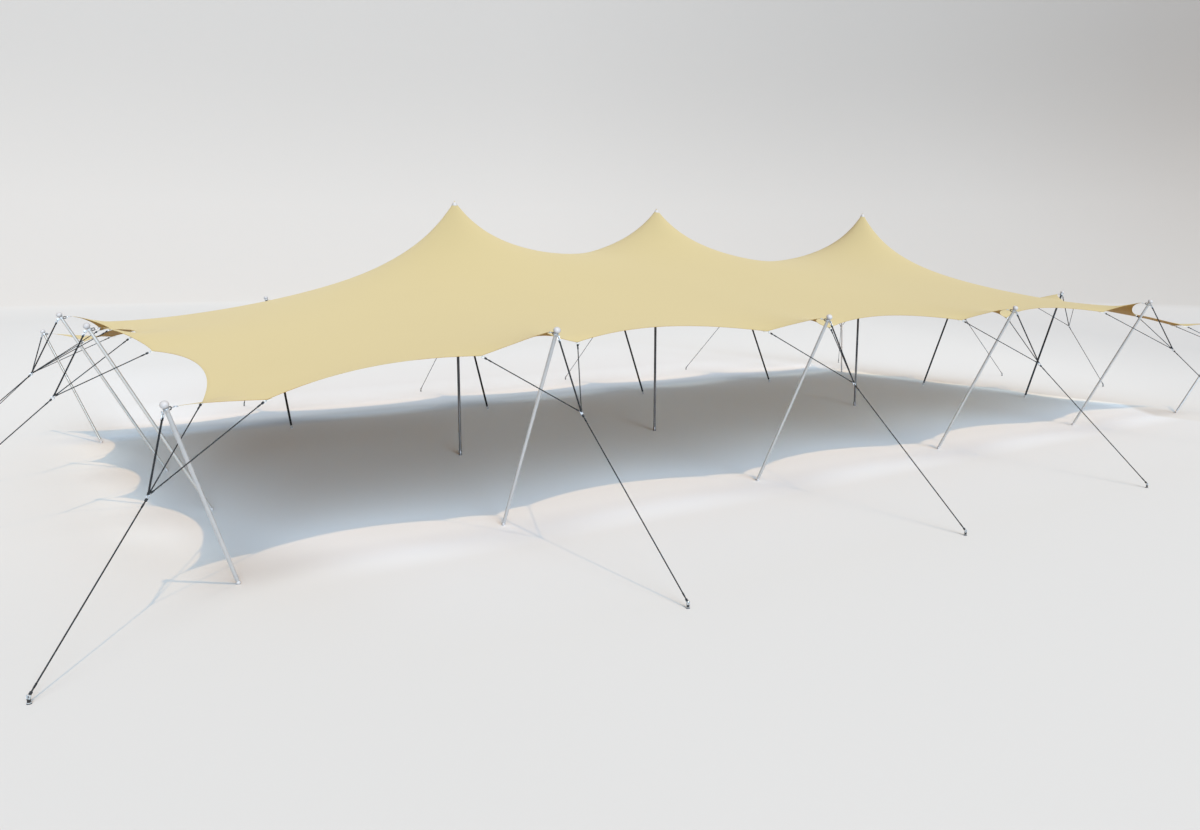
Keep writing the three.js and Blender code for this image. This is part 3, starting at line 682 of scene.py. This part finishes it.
def frame_along(start, towards, side=None):
    """A place whose +Z points from start to towards and whose +X is nearest to side."""
    z = (towards - start).normalized()
    side = side or (X if abs(z.x) < 0.9 else Y)
    x = (side - z * side.dot(z)).normalized()
    y = z.cross(x)
    turn = Matrix((x, y, z)).transposed().to_4x4()
    return Matrix.Translation(start) @ turn


def joined(places):
    """One mesh of several parts at their places."""
    bm = bmesh.new()
    for part, place in places:
        count = len(bm.verts)
        bm.from_mesh(part)
        bm.verts.ensure_lookup_table()
        bmesh.ops.transform(bm, matrix=place, verts=bm.verts[count:])
    return bm


def piece(name, bm, material, node, crease=40):
    """A finished piece: smooth but for its sharp edges, riding on the tent in place of its node."""
    mesh = bpy.data.meshes.new(name)
    bm.to_mesh(mesh)
    bm.free()
    mesh.materials.append(material)
    mesh.polygons.foreach_set("use_smooth", [True] * len(mesh.polygons))
    mesh.set_sharp_from_angle(angle=radians(crease))
    obj = bpy.data.objects.new(name, mesh)
    bpy.context.scene.collection.objects.link(obj)
    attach(obj, "root")
    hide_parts(node)
    return obj


def rope_part(radius, length, sides=12):
    """A round rope in stretches of about 0.4 m."""
    steps = max(1, round(length / 0.4))
    profile = [(0, 0), (radius, 0)]
    profile += [(radius, length * i / steps) for i in range(1, steps + 1)]
    return turned([*profile, (0, length)], sides)


# Canopy

def canopy():
    """The net as a sheet with a thickness, a surface map in metres, and marks for hem and underside."""
    wide, deep = net.shape[:2]
    bm = bmesh.new()
    bmesh.ops.create_grid(bm, x_segments=wide - 1, y_segments=deep - 1, size=1)
    lengths = [np.linalg.norm(np.diff(net, axis=n), axis=-1).mean(axis=1 - n) for n in (0, 1)]
    reach = [np.concatenate([[0], np.cumsum(steps)]) for steps in lengths]
    ends = [np.linalg.norm(net - rim, axis=-1) for rim in (net[:, :1], net[:, -1:], net[:1], net[-1:])]
    from_edge = np.minimum.reduce(ends)
    layer = bm.verts.layers.float.new("from_edge")
    grid = {}
    for vert in bm.verts:
        i = round((vert.co.x + 1) / 2 * (wide - 1))
        j = round((vert.co.y + 1) / 2 * (deep - 1))
        grid[vert] = (reach[0][i], reach[1][j])
        vert.co = net[i, j]
        vert[layer] = from_edge[i, j]
    surface = bm.loops.layers.uv.new("surface")
    for face in bm.faces:
        for loop in face.loops:
            loop[surface].uv = grid[loop.vert]
    bm.normal_update()
    if sum(face.normal.z for face in bm.faces) < 0:
        bmesh.ops.reverse_faces(bm, faces=bm.faces)
    bmesh.ops.solidify(bm, geom=bm.faces[:], thickness=CLOTH_THICKNESS)
    below = bm.faces.layers.float.new("underside")
    bm.normal_update()
    for face in bm.faces:
        face[below] = 1.0 if face.normal.z < -0.05 else 0.0
    return piece("canopy_cloth", bm, CLOTH, "canopy", crease=60)


cloth = canopy()


# Poles and their fittings

def tube_part(length, tube_radius, start=0.0):
    edge = 0.002
    wall = [(tube_radius - edge, start), (tube_radius, start + edge), (tube_radius, length)]
    return turned([(0, start), *wall, (0, length)], POLE_SIDES, tube_radius)


def ball_foot():
    """The ball that an edge pole stands on, with its neck; worn flat where it meets the ground."""
    turns = [radians(n) for n in range(-80, 56, 9)]
    ball = [(FOOT_BALL * cos(turn), FOOT_BALL_UP + FOOT_BALL * sin(turn)) for turn in turns]
    top = FOOT_LENGTH + 0.002
    neck = [(FOOT_NECK, FOOT_BALL_UP + 0.0245), (FOOT_NECK, top), (0, top)]
    return turned([(0, FOOT_BALL_UP - FOOT_BALL), *ball, *neck], POLE_SIDES)


def king_foot():
    """The sleeve at the foot of a king pole."""
    outer, top = KING_FOOT_RADIUS, KING_FOOT_LENGTH
    wall = [(outer - 0.002, 0), (outer, 0.002), (outer, top - 0.006), (outer - 0.003, top)]
    return turned([(0, 0), *wall, (KING_RADIUS - 0.001, top + 0.001)], POLE_SIDES)


def ball_cap():
    turn = [(CAP_RADIUS * sin(pi * n / 14), -CAP_RISE * cos(pi * n / 14)) for n in range(1, 14)]
    return turned([(0, -CAP_RISE), *turn, (0, CAP_RISE)], POLE_SIDES)


def headed_pin(half, head, head_radius, radius):
    """A pin along Z with a flat head at each end."""
    inner = half - head
    ends = [(0, -half), (head_radius, -half), (head_radius, -inner), (radius, -inner)]
    return turned([*ends, *[(r, -h) for r, h in reversed(ends)]], 12)


BALL_FOOT = ball_foot()
KING_FOOT = king_foot()
CAP = ball_cap()
COLLAR = turned([(0, -0.017), (COLLAR_RADIUS - 0.003, -0.017), (COLLAR_RADIUS, -0.014),
                 (COLLAR_RADIUS, 0.014), (COLLAR_RADIUS - 0.003, 0.017), (0, 0.017)], 24)
RING = hoop(RING_RADIUS, RING_WIRE, sides=24)
EYE = hoop(EYE_RADIUS, EYE_WIRE, stretch=0.004)
ANCHOR_EYE = hoop(ANCHOR_EYE_RADIUS, ANCHOR_EYE_WIRE)
TIP_SHACKLE = hoop(0.015, 0.0065, stretch=0.006)
LOOP_EYE = hoop(LOOP_EYE_RADIUS, EYE_WIRE, sides=24)
CHEEK = rounded_block(0.046, 0.005, 0.02, edge=0.0015)
PIN = headed_pin(0.021, 0.003, 0.008, PIN_RADIUS)
ANCHOR_PIN = headed_pin(0.0175, 0.002, 0.005, 0.003)


def wraps(radius, length, turns, sides=14):
    """Turns of rope wound tightly round a rope: a row of rounded ridges."""
    profile = [(0, 0), (radius * 0.6, 0)]
    for n in range(turns):
        for step in (0.15, 0.35, 0.5, 0.65, 0.85):
            profile.append((radius * (0.72 + 0.28 * sin(pi * step)), length * (n + step) / turns))
    return turned([*profile, (radius * 0.6, length), (0, length)], sides)


KNOT = wraps(KNOT_RADIUS, KNOT_LENGTH, KNOT_TURNS)
WHIPPING = wraps(WHIPPING_RADIUS, WHIPPING_LENGTH, WHIPPING_TURNS)


def tube_metal(name):
    """The tube's material, with painted light and shade: darker along the back and the right-hand end and
    at the back left corner, a little greyer at the left.
    """
    if name.startswith(("back", "right")):
        return SHADE_DARKENED_TUBE
    if name.startswith("left"):
        return LEFT_LIGHT_TUNED_TUBE
    return CORNER_SHADE_TUBE if name == "corner_back_left" else EDGE_TUBE


def foot_on_ground(place):
    """The ball foot at its place, cut flat by the ground."""
    foot = joined([(BALL_FOOT, place)])
    everything = foot.verts[:] + foot.edges[:] + foot.faces[:]
    flat = bmesh.ops.bisect_plane(foot, geom=everything, plane_co=(0, 0, 0), plane_no=(0, 0, -1),
                                  clear_outer=True)
    rim = [edge for edge in flat["geom_cut"] if isinstance(edge, bmesh.types.BMEdge)]
    bmesh.ops.contextual_create(foot, geom=rim)
    bmesh.ops.recalc_face_normals(foot, faces=foot.faces)
    return foot


def edge_pole(station):
    node = f"pole_{station.name}"
    place = frame_along(station.foot, station.head, station.out)
    length = (station.head - station.foot).length
    tube = joined([(tube_part(length, POLE_RADIUS, FOOT_LENGTH), place)])
    piece(f"{node}_tube", tube, tube_metal(station.name), node)
    piece(f"{node}_foot", foot_on_ground(place), CAP_PLASTIC, node)
    cap = joined([(CAP, place @ Matrix.Translation((0, 0, length + CAP_ABOVE)))])
    piece(f"{node}_cap", cap, CAP_PLASTIC, node)
    collar = station.head - station.lean * COLLAR_BELOW
    pin = collar + station.out * CLEVIS_OUT - Z * CLEVIS_DROP
    level_frame = frame_along(Vector(), Z, station.out)
    fittings = [(COLLAR, place @ Matrix.Translation((0, 0, length - COLLAR_BELOW)))]
    for hand in (-1, 1):
        side = pin - station.out * CHEEK_BACK + station.across * hand * CHEEK_SPREAD
        fittings.append((CHEEK, Matrix.Translation(side) @ level_frame))
    fittings.append((PIN, frame_along(pin, pin + station.across)))
    piece(f"{node}_collar", joined(fittings), EDGE_TUBE, node)
    # a dark shackle at the collar, a link and a ring hold the tip of the cloth
    hold = collar - station.out * TIP_HOLD
    grip = station.tip + (hold - station.tip).normalized() * TIP_GRIP
    shackle = [(TIP_SHACKLE, frame_along(hold.lerp(grip, TIP_SHACKLE_AT), grip, Z))]
    piece(f"{node}_tip_shackle", joined(shackle), DARK_RUBBER, node)
    link = rope_part(TIP_LINK_RADIUS, (grip - hold).length * TIP_LINK_SHARE, 8)
    links = [(link, frame_along(hold.lerp(grip, TIP_LINK_AT), grip))]
    links.append((LOOP_EYE, frame_along(hold.lerp(grip, TIP_EYE_AT), grip, station.across)))
    piece(f"{node}_tip_link", joined(links), RING_STEEL, node)


def king_pole(number, king):
    node = f"king_pole_{number}"
    place = Matrix.Translation((king.x, king.y, 0))
    tube = joined([(tube_part(king.z - KING_NECK, KING_RADIUS, 0.003), place)])
    piece(f"{node}_tube", tube, KING_SHADE_TUBE, node)
    piece(f"{node}_foot", joined([(KING_FOOT, place)]), KING_SLEEVE, node)
    dome = turned([(0, -0.14), (0.034, -0.14), (0.036, -0.136), (0.036, -0.11), (0.05, -0.09),
                   (0.052, -0.082), (0.05, -0.072), (0.04, -0.05), (0.026, -0.03), (0.012, -0.02),
                   (0, -0.017)], 24)
    piece(f"{node}_dome", joined([(dome, Matrix.Translation(king))]), CAP_PLASTIC, node)


# Ropes and anchors

def guy_set(station):
    """The thick rope at a pole's head, its ring, two bridle ropes to the cloth and the guy rope."""
    node = f"guy_{station.name}"
    collar = station.head - station.lean * COLLAR_BELOW
    pin = collar + station.out * CLEVIS_OUT - Z * CLEVIS_DROP
    down = (station.ring - pin).normalized()
    line = (station.anchor - station.ring).xy.to_3d().normalized()
    across = Vector((-line.y, line.x, 0))
    strap_top = pin + down * HEAD_LINK
    ring_top = station.ring - down * RING_RADIUS
    anchor_pin = station.anchor + Z * ANCHOR_PIN_Z
    pull = (anchor_pin - station.ring).normalized()
    ring_foot = station.ring + pull * RING_RADIUS
    eye_foot = anchor_pin - pull * (ANCHOR_EYE_RADIUS + ANCHOR_EYE_REST)
    facings = (station.out, station.across, station.out)
    steel_parts = [(EYE, frame_along(pin + down * at, strap_top, facing))
                   for at, facing in zip(HEAD_EYES, facings)]
    steel_parts.append((RING, frame_along(station.ring, station.ring + pull, line)))
    steel_parts.append((ANCHOR_EYE, frame_along(anchor_pin - pull * ANCHOR_EYE_REST, station.ring, line)))
    ropes = [(rope_part(GUY_RADIUS, (eye_foot - ring_foot).length), frame_along(ring_foot, eye_foot))]
    ropes.append((KNOT, frame_along(ring_foot, eye_foot)))
    ropes.append((WHIPPING, frame_along(ring_foot + pull * GUY_WHIPPING_AT, eye_foot)))
    ropes.append((KNOT, frame_along(eye_foot, ring_foot)))
    ropes.append((WHIPPING, frame_along(eye_foot - pull * GUY_WHIPPING_AT, ring_foot)))
    bridles, tabs = [], []
    for loop in station.loops:
        draw = (ring_top - loop).normalized()
        eye = loop + draw * (LOOP_EYE_RADIUS + EYE_WIRE + LOOP_GAP)
        start = eye + draw * LOOP_EYE_RADIUS
        low = ring_top - draw * RING_LINK
        bridles.append((rope_part(BRIDLE_RADIUS, (low - start).length), frame_along(start, low)))
        steel_parts.append((EYE, frame_along(ring_top - draw * RING_EYE_IN, start, Z.cross(draw))))
        bridles.append((KNOT, frame_along(start, ring_top)))
        bridles.append((WHIPPING, frame_along(start + draw * BRIDLE_WHIPPING_AT, ring_top)))
        bridles.append((WHIPPING, frame_along(low, start)))
        steel_parts.append((LOOP_EYE, frame_along(eye, eye + draw, across)))
        back = loop - draw.xy.to_3d().normalized() * TAB_BACK
        reach = (eye - back).length
        tab_place = frame_along(back, eye, Z.cross(draw)) @ Matrix.Translation((0, 0, reach / 2))
        tabs.append((rounded_block(TAB_WIDTH, TAB_THICKNESS, reach), tab_place))
    strap = [(rope_part(STRAP_RADIUS, (ring_top - strap_top).length, 14), frame_along(strap_top, ring_top))]
    strap.append((KNOT, frame_along(strap_top - down * STRAP_KNOT_IN, ring_top)))
    strap.append((KNOT, frame_along(ring_top - down * KNOT_LENGTH, ring_top)))
    piece(f"{node}_strap", joined(strap), STRAP, node)
    piece(f"{node}_bridle_ropes", joined(bridles), ROPE, node)
    piece(f"{node}_rope", joined(ropes), ROPE, node)
    piece(f"{node}_rings", joined(steel_parts), RING_STEEL, node)
    piece(f"{node}_edge_tabs", joined(tabs), TAB_WEBBING, node)


ANCHOR_BASE = turned([(0, 0), (0.0195, 0), (0.021, 0.002), (0.021, 0.006), (0.018, 0.009), (0, 0.009)], 28)
ANCHOR_RIM = turned([(0.016, 0.009), (0.0205, 0.0093), (0.0213, 0.0115), (0.0195, 0.0135),
                     (0.015, 0.014)], 28)
ANCHOR_PRONG = rounded_block(0.016, 0.005, 0.034)
ANCHOR_YOKE = rounded_block(0.018, 0.034, 0.006)


def anchor_post():
    """The dark post, wider towards its top."""
    bm = bmesh.new()
    place = Matrix.Translation((0, 0, 0.026)) @ Matrix.Rotation(pi / 4, 4, "Z")
    bmesh.ops.create_cone(bm, cap_ends=True, segments=4, radius1=0.013, radius2=0.0175, depth=0.034,
                          matrix=place)
    bmesh.ops.bevel(bm, geom=bm.edges[:], offset=0.0015, segments=2, profile=0.5, affect="EDGES",
                    material=-1)
    bm.loops.layers.uv.new("surface")
    return kept(bm)


ANCHOR_POST = anchor_post()


def anchor(station):
    node = f"anchor_{station.name}"
    line = (station.anchor - station.head).xy.to_3d().normalized()
    place = Matrix.Translation(station.anchor) @ frame_along(Vector(), Z, line)
    pin_place = place @ Matrix.Translation((0, 0, ANCHOR_PIN_Z)) @ Matrix.Rotation(pi / 2, 4, "X")
    post = joined([(ANCHOR_BASE, place), (ANCHOR_POST, place), (ANCHOR_PIN, pin_place)])
    piece(f"{node}_post", post, ANCHOR_STEEL, node)
    fork = [(ANCHOR_RIM, place), (ANCHOR_YOKE, place @ Matrix.Translation((0, 0, YOKE_Z)))]
    for hand in (-1, 1):
        lean = Matrix.Rotation(-hand * radians(PRONG_LEAN), 4, "X")
        fork.append((ANCHOR_PRONG, place @ Matrix.Translation((0, hand * PRONG_Y, PRONG_Z)) @ lean))
    piece(f"{node}_fork", joined(fork), ANCHOR_TOP, node)


for number, king in enumerate(KINGS, 1):
    king_pole(number, king)
for station in STATIONS:
    edge_pole(station)
    guy_set(station)
    anchor(station)


# Studio: pale floor that rises into a backdrop, sun and soft sky light

# Travel, strength, width in degrees and colour of each lamp
LAMPS = (
    ("key", Vector((0.058, 0.62, -1)), 1.29, 1.0, (1.0, 0.666, 0.358)),
    ("low front", Vector((0.2137, 0.9614, -0.1736)), 3.0, 18.0, (0.553, 0.777, 1.0)),
    ("front", Vector((0.1777, 0.7996, -0.5736)), 2.244, 40.0, (0.633, 0.815, 1.0)),
    ("top", Vector((0.0, 0.08, -1)), 0.72, 20.0, (0.84, 0.944, 1.0)),
)
SKY_COLOUR = (0.713, 0.836, 1.0)
SKY_STRENGTH = 0.386
PAPER = 0.78  # brightness of the lit floor
FLOOR_RADIUS = 65.0
WALL_CURVE = 30.0
WALL_TOP = 48.0
SLANTWISE = (0.823, -0.569, 0.0)  # level, along the line from the far left to the near right

# Floor paint along y, painted light and shade: paler in and near the tent's shade, with a darker and a
# paler strip along the shade's soft rear border
LIGHT_AND_SHADE_BANDS = (
    (-8.2, (0.66, 0.63, 0.595)), (-5.7, (0.68, 0.66, 0.64)), (-5.0, (0.775, 0.78, 0.79)),
    (-4.3, (0.86, 0.865, 0.865)), (-2.0, (0.85, 0.845, 0.83)), (0.5, (0.84, 0.825, 0.8)),
    (4.9, (0.85, 0.81, 0.75)), (5.6, (0.69, 0.715, 0.745)), (5.95, (0.71, 0.72, 0.735)),
    (6.35, (0.885, 0.885, 0.885)), (6.8, (0.97, 0.97, 0.98)), (7.2, (0.96, 0.965, 0.98)),
    (7.6, (0.875, 0.88, 0.89)), (8.6, (0.815, 0.81, 0.805)), (10.5, (0.74, 0.72, 0.7)),
    (20.0, (0.675, 0.65, 0.62)),
)
FRONT_TONE = (0.655, 0.625, 0.59, 1)
SIDE_TONE = (0.68, 0.65, 0.615, 1)
# painted light in the tent's shade, mixed in more towards the right
SHADE_LIGHTENING_TONE = (0.99, 0.97, 0.91, 1)
# painted shade: the floor darker far off and far to the right
FAR_SHADE_TONE = (0.6, 0.577, 0.55, 1)
FAR_RIGHT_SHADE_TONE = (0.58, 0.555, 0.53, 1)


def light_on(finish, facing):
    """Red, green and blue light from the lamps, the sky and the lit floor on a surface."""
    tree = finish.tree
    upward = finish.node("SeparateXYZ", (), _0=facing).outputs[2]
    open_sky = maths(tree, "MULTIPLY", maths(tree, "ADD", upward, 1.0), pi / 2)
    floor_glow = maths(tree, "MULTIPLY", maths(tree, "SUBTRACT", 1.0, upward), PAPER * pi / 2)
    light = [maths(tree, "ADD", floor_glow, maths(tree, "MULTIPLY", open_sky, SKY_STRENGTH * share))
             for share in SKY_COLOUR]
    for _, travel, energy, _, colour in LAMPS:
        towards = tuple(-travel.normalized())
        square = finish.node("VectorMath", {"operation": "DOT_PRODUCT"}, _0=facing, _1=towards)
        lit = maths(tree, "MAXIMUM", square.outputs["Value"], 0.0)
        light = [maths(tree, "ADD", so_far, maths(tree, "MULTIPLY", lit, energy * share))
                 for so_far, share in zip(light, colour)]
    return light


def wall_paint(finish, up, across):
    """Paint that evens out the light on the wall, with a little painted shade towards its top, its right
    and its foot.
    """
    tree = finish.tree
    facing = finish.node("NewGeometry").outputs["Normal"]
    upper = ranged(tree, up, 0.0, 26.0, smooth=True)
    upper_dusk = maths(tree, "MULTIPLY", upper, ranged(tree, across, -51.0, 52.0, 0.085, 0.165))
    dusk = maths(tree, "ADD", upper_dusk, ranged(tree, across, -10.0, 52.0, 0.0, 0.155))
    dusk = maths(tree, "ADD", dusk, ranged(tree, up, 0.0, 9.0, 0.06, 0.0))
    glow = maths(tree, "MULTIPLY", maths(tree, "SUBTRACT", 1.0, dusk), PAPER * pi)
    red, green, blue = (maths(tree, "DIVIDE", glow, light) for light in light_on(finish, facing))
    return finish.node("CombineColor", (), _0=red, _1=green, _2=blue).outputs[0]


def banded_paint(finish, y):
    """The bands of painted light and shade along y."""
    bands = finish.node("ValToRGB")
    ramp = bands.color_ramp
    first, last = LIGHT_AND_SHADE_BANDS[0][0], LIGHT_AND_SHADE_BANDS[-1][0]
    for n, (place, paint) in enumerate(LIGHT_AND_SHADE_BANDS):
        stop = ramp.elements[n] if n < 2 else ramp.elements.new(1.0)
        stop.position = (place - first) / (last - first)
        stop.color = (*paint, 1)
    feed(finish.tree, bands, {"_0": ranged(finish.tree, y, first, last)})
    return bands.outputs[0]


def without(tree, share, a, b):
    """The share, less where both a and b are high."""
    return maths(tree, "MULTIPLY", share, maths(tree, "SUBTRACT", 1.0, maths(tree, "MULTIPLY", a, b)))


def light_and_shade_reach(finish, x, y):
    """How far the painted light and shade of the bands goes: under the tent and in a strip behind it, with
    soft ends.
    """
    tree = finish.tree
    left_side = maths(tree, "ADD", x, ranged(tree, y, -5.0, -2.5, -1.2, 0.2))
    right_side = maths(tree, "SUBTRACT", x, ranged(tree, y, -5.0, -3.6, -1.2, 0.0))
    from_left = ranged(tree, left_side, -11.7, -9.6, smooth=True)
    right_limit = ranged(tree, y, 4.2, 7.2, 11.2, 12.5)
    from_right = ranged(tree, right_side, right_limit, 10.85, smooth=True)
    share = maths(tree, "MULTIPLY", from_left, from_right)
    share = without(tree, share, ranged(tree, y, 5.2, 6.6), ranged(tree, x, -8.5, -10.8, smooth=True))
    right_end = ranged(tree, x, 8.5, 10.5, 0.0, 0.4, smooth=True)
    return without(tree, share, ranged(tree, y, 6.6, 8.0), right_end)


def floor_paint():
    """Pale paint with painted light and shade: paler in the tent's shade, painted strips along its rear
    border, and painted shade far off and to the right; on the wall, darker where the low lamps strike it
    squarely.
    """
    finish = Finish("studio floor paint", Roughness=0.9, Specular_IOR_Level=0.0)
    tree = finish.tree
    spot = object_place(finish)
    x, y, z = finish.node("SeparateXYZ", (), _0=spot).outputs
    across = finish.node("VectorMath", {"operation": "DOT_PRODUCT"}, _0=spot, _1=SLANTWISE).outputs["Value"]
    out = finish.node("VectorMath", {"operation": "LENGTH"}, _0=spot).outputs["Value"]
    bands = banded_paint(finish, y)
    # painted light in the shade, more of it towards the right
    shaded = blend_of(tree, ranged(tree, x, -8.0, 4.0, 0.0, 0.9), bands, SHADE_LIGHTENING_TONE)
    in_shade = maths(tree, "MULTIPLY", ranged(tree, y, -4.2, -1.0, smooth=True),
                     ranged(tree, y, 6.4, 5.2, smooth=True))
    paint = blend_of(tree, ranged(tree, y, -6.0, -2.0), FRONT_TONE, SIDE_TONE)
    paint = blend_of(tree, light_and_shade_reach(finish, x, y), paint, blend_of(tree, in_shade, bands, shaded))
    # painted shade far off and far to the right
    paint = blend_of(tree, ranged(tree, out, 18.0, 50.0), paint, FAR_SHADE_TONE)
    paint = blend_of(tree, ranged(tree, across, 13.0, 22.0), paint, FAR_RIGHT_SHADE_TONE)
    paint = blend_of(tree, ranged(tree, z, 0.0, 0.2), paint, wall_paint(finish, z, across))
    finish.put("Base Color", paint)
    return finish.material


def studio_floor():
    """A round floor, and a wall that curves up from it along the far side."""
    bm = bmesh.new()
    bmesh.ops.create_circle(bm, cap_ends=True, cap_tris=True, segments=96, radius=FLOOR_RADIUS)
    turns = [pi / 2 * n / 16 for n in range(17)]
    curve = [(FLOOR_RADIUS + WALL_CURVE * sin(turn), WALL_CURVE - WALL_CURVE * cos(turn)) for turn in turns]
    points = [bm.verts.new((r, 0, h)) for r, h in [*curve, (FLOOR_RADIUS + WALL_CURVE, WALL_TOP)]]
    lines = [bm.edges.new(pair) for pair in zip(points, points[1:])]
    bmesh.ops.rotate(bm, verts=points, cent=(0, 0, 0), matrix=Matrix.Rotation(radians(-45), 3, "Z"))
    bmesh.ops.spin(bm, geom=points + lines, cent=(0, 0, 0), axis=(0, 0, 1), angle=radians(202.5), steps=54)
    bmesh.ops.remove_doubles(bm, verts=bm.verts, dist=1e-4)
    bmesh.ops.recalc_face_normals(bm, faces=bm.faces)
    if sum(face.normal.z * face.calc_area() for face in bm.faces) < 0:
        bmesh.ops.reverse_faces(bm, faces=bm.faces)
    mesh = bpy.data.meshes.new("studio_floor")
    bm.to_mesh(mesh)
    bm.free()
    mesh.polygons.foreach_set("use_smooth", [True] * len(mesh.polygons))
    mesh.materials.append(floor_paint())
    floor = bpy.data.objects.new("studio_floor", mesh)
    bpy.context.scene.collection.objects.link(floor)


def lamps():
    for name, travel, energy, width, colour in LAMPS:
        sun = bpy.data.lights.new(name, "SUN")
        sun.energy = energy
        sun.angle = radians(width)
        sun.color = colour
        lamp = bpy.data.objects.new(name, sun)
        lamp.rotation_euler = travel.to_track_quat("-Z", "Y").to_euler()
        bpy.context.scene.collection.objects.link(lamp)
    world = bpy.data.worlds.new("sky")
    world.use_nodes = True
    light = world.node_tree.nodes["Background"]
    light.inputs["Color"].default_value = (*SKY_COLOUR, 1)
    light.inputs["Strength"].default_value = SKY_STRENGTH
    bpy.context.scene.world = world
    bpy.context.scene.view_settings.view_transform = "Standard"


def camera():
    data = bpy.data.cameras.new("camera")
    data.sensor_width = 36.0
    data.lens = 28.964
    data.clip_end = 400
    eye = bpy.data.objects.new("camera", data)
    eye.location = (-13.164, -15.769, 3.54)
    eye.rotation_euler = (radians(80.874), 0, radians(-34.66))
    bpy.context.scene.collection.objects.link(eye)
    bpy.context.scene.camera = eye


studio_floor()
lamps()
camera()
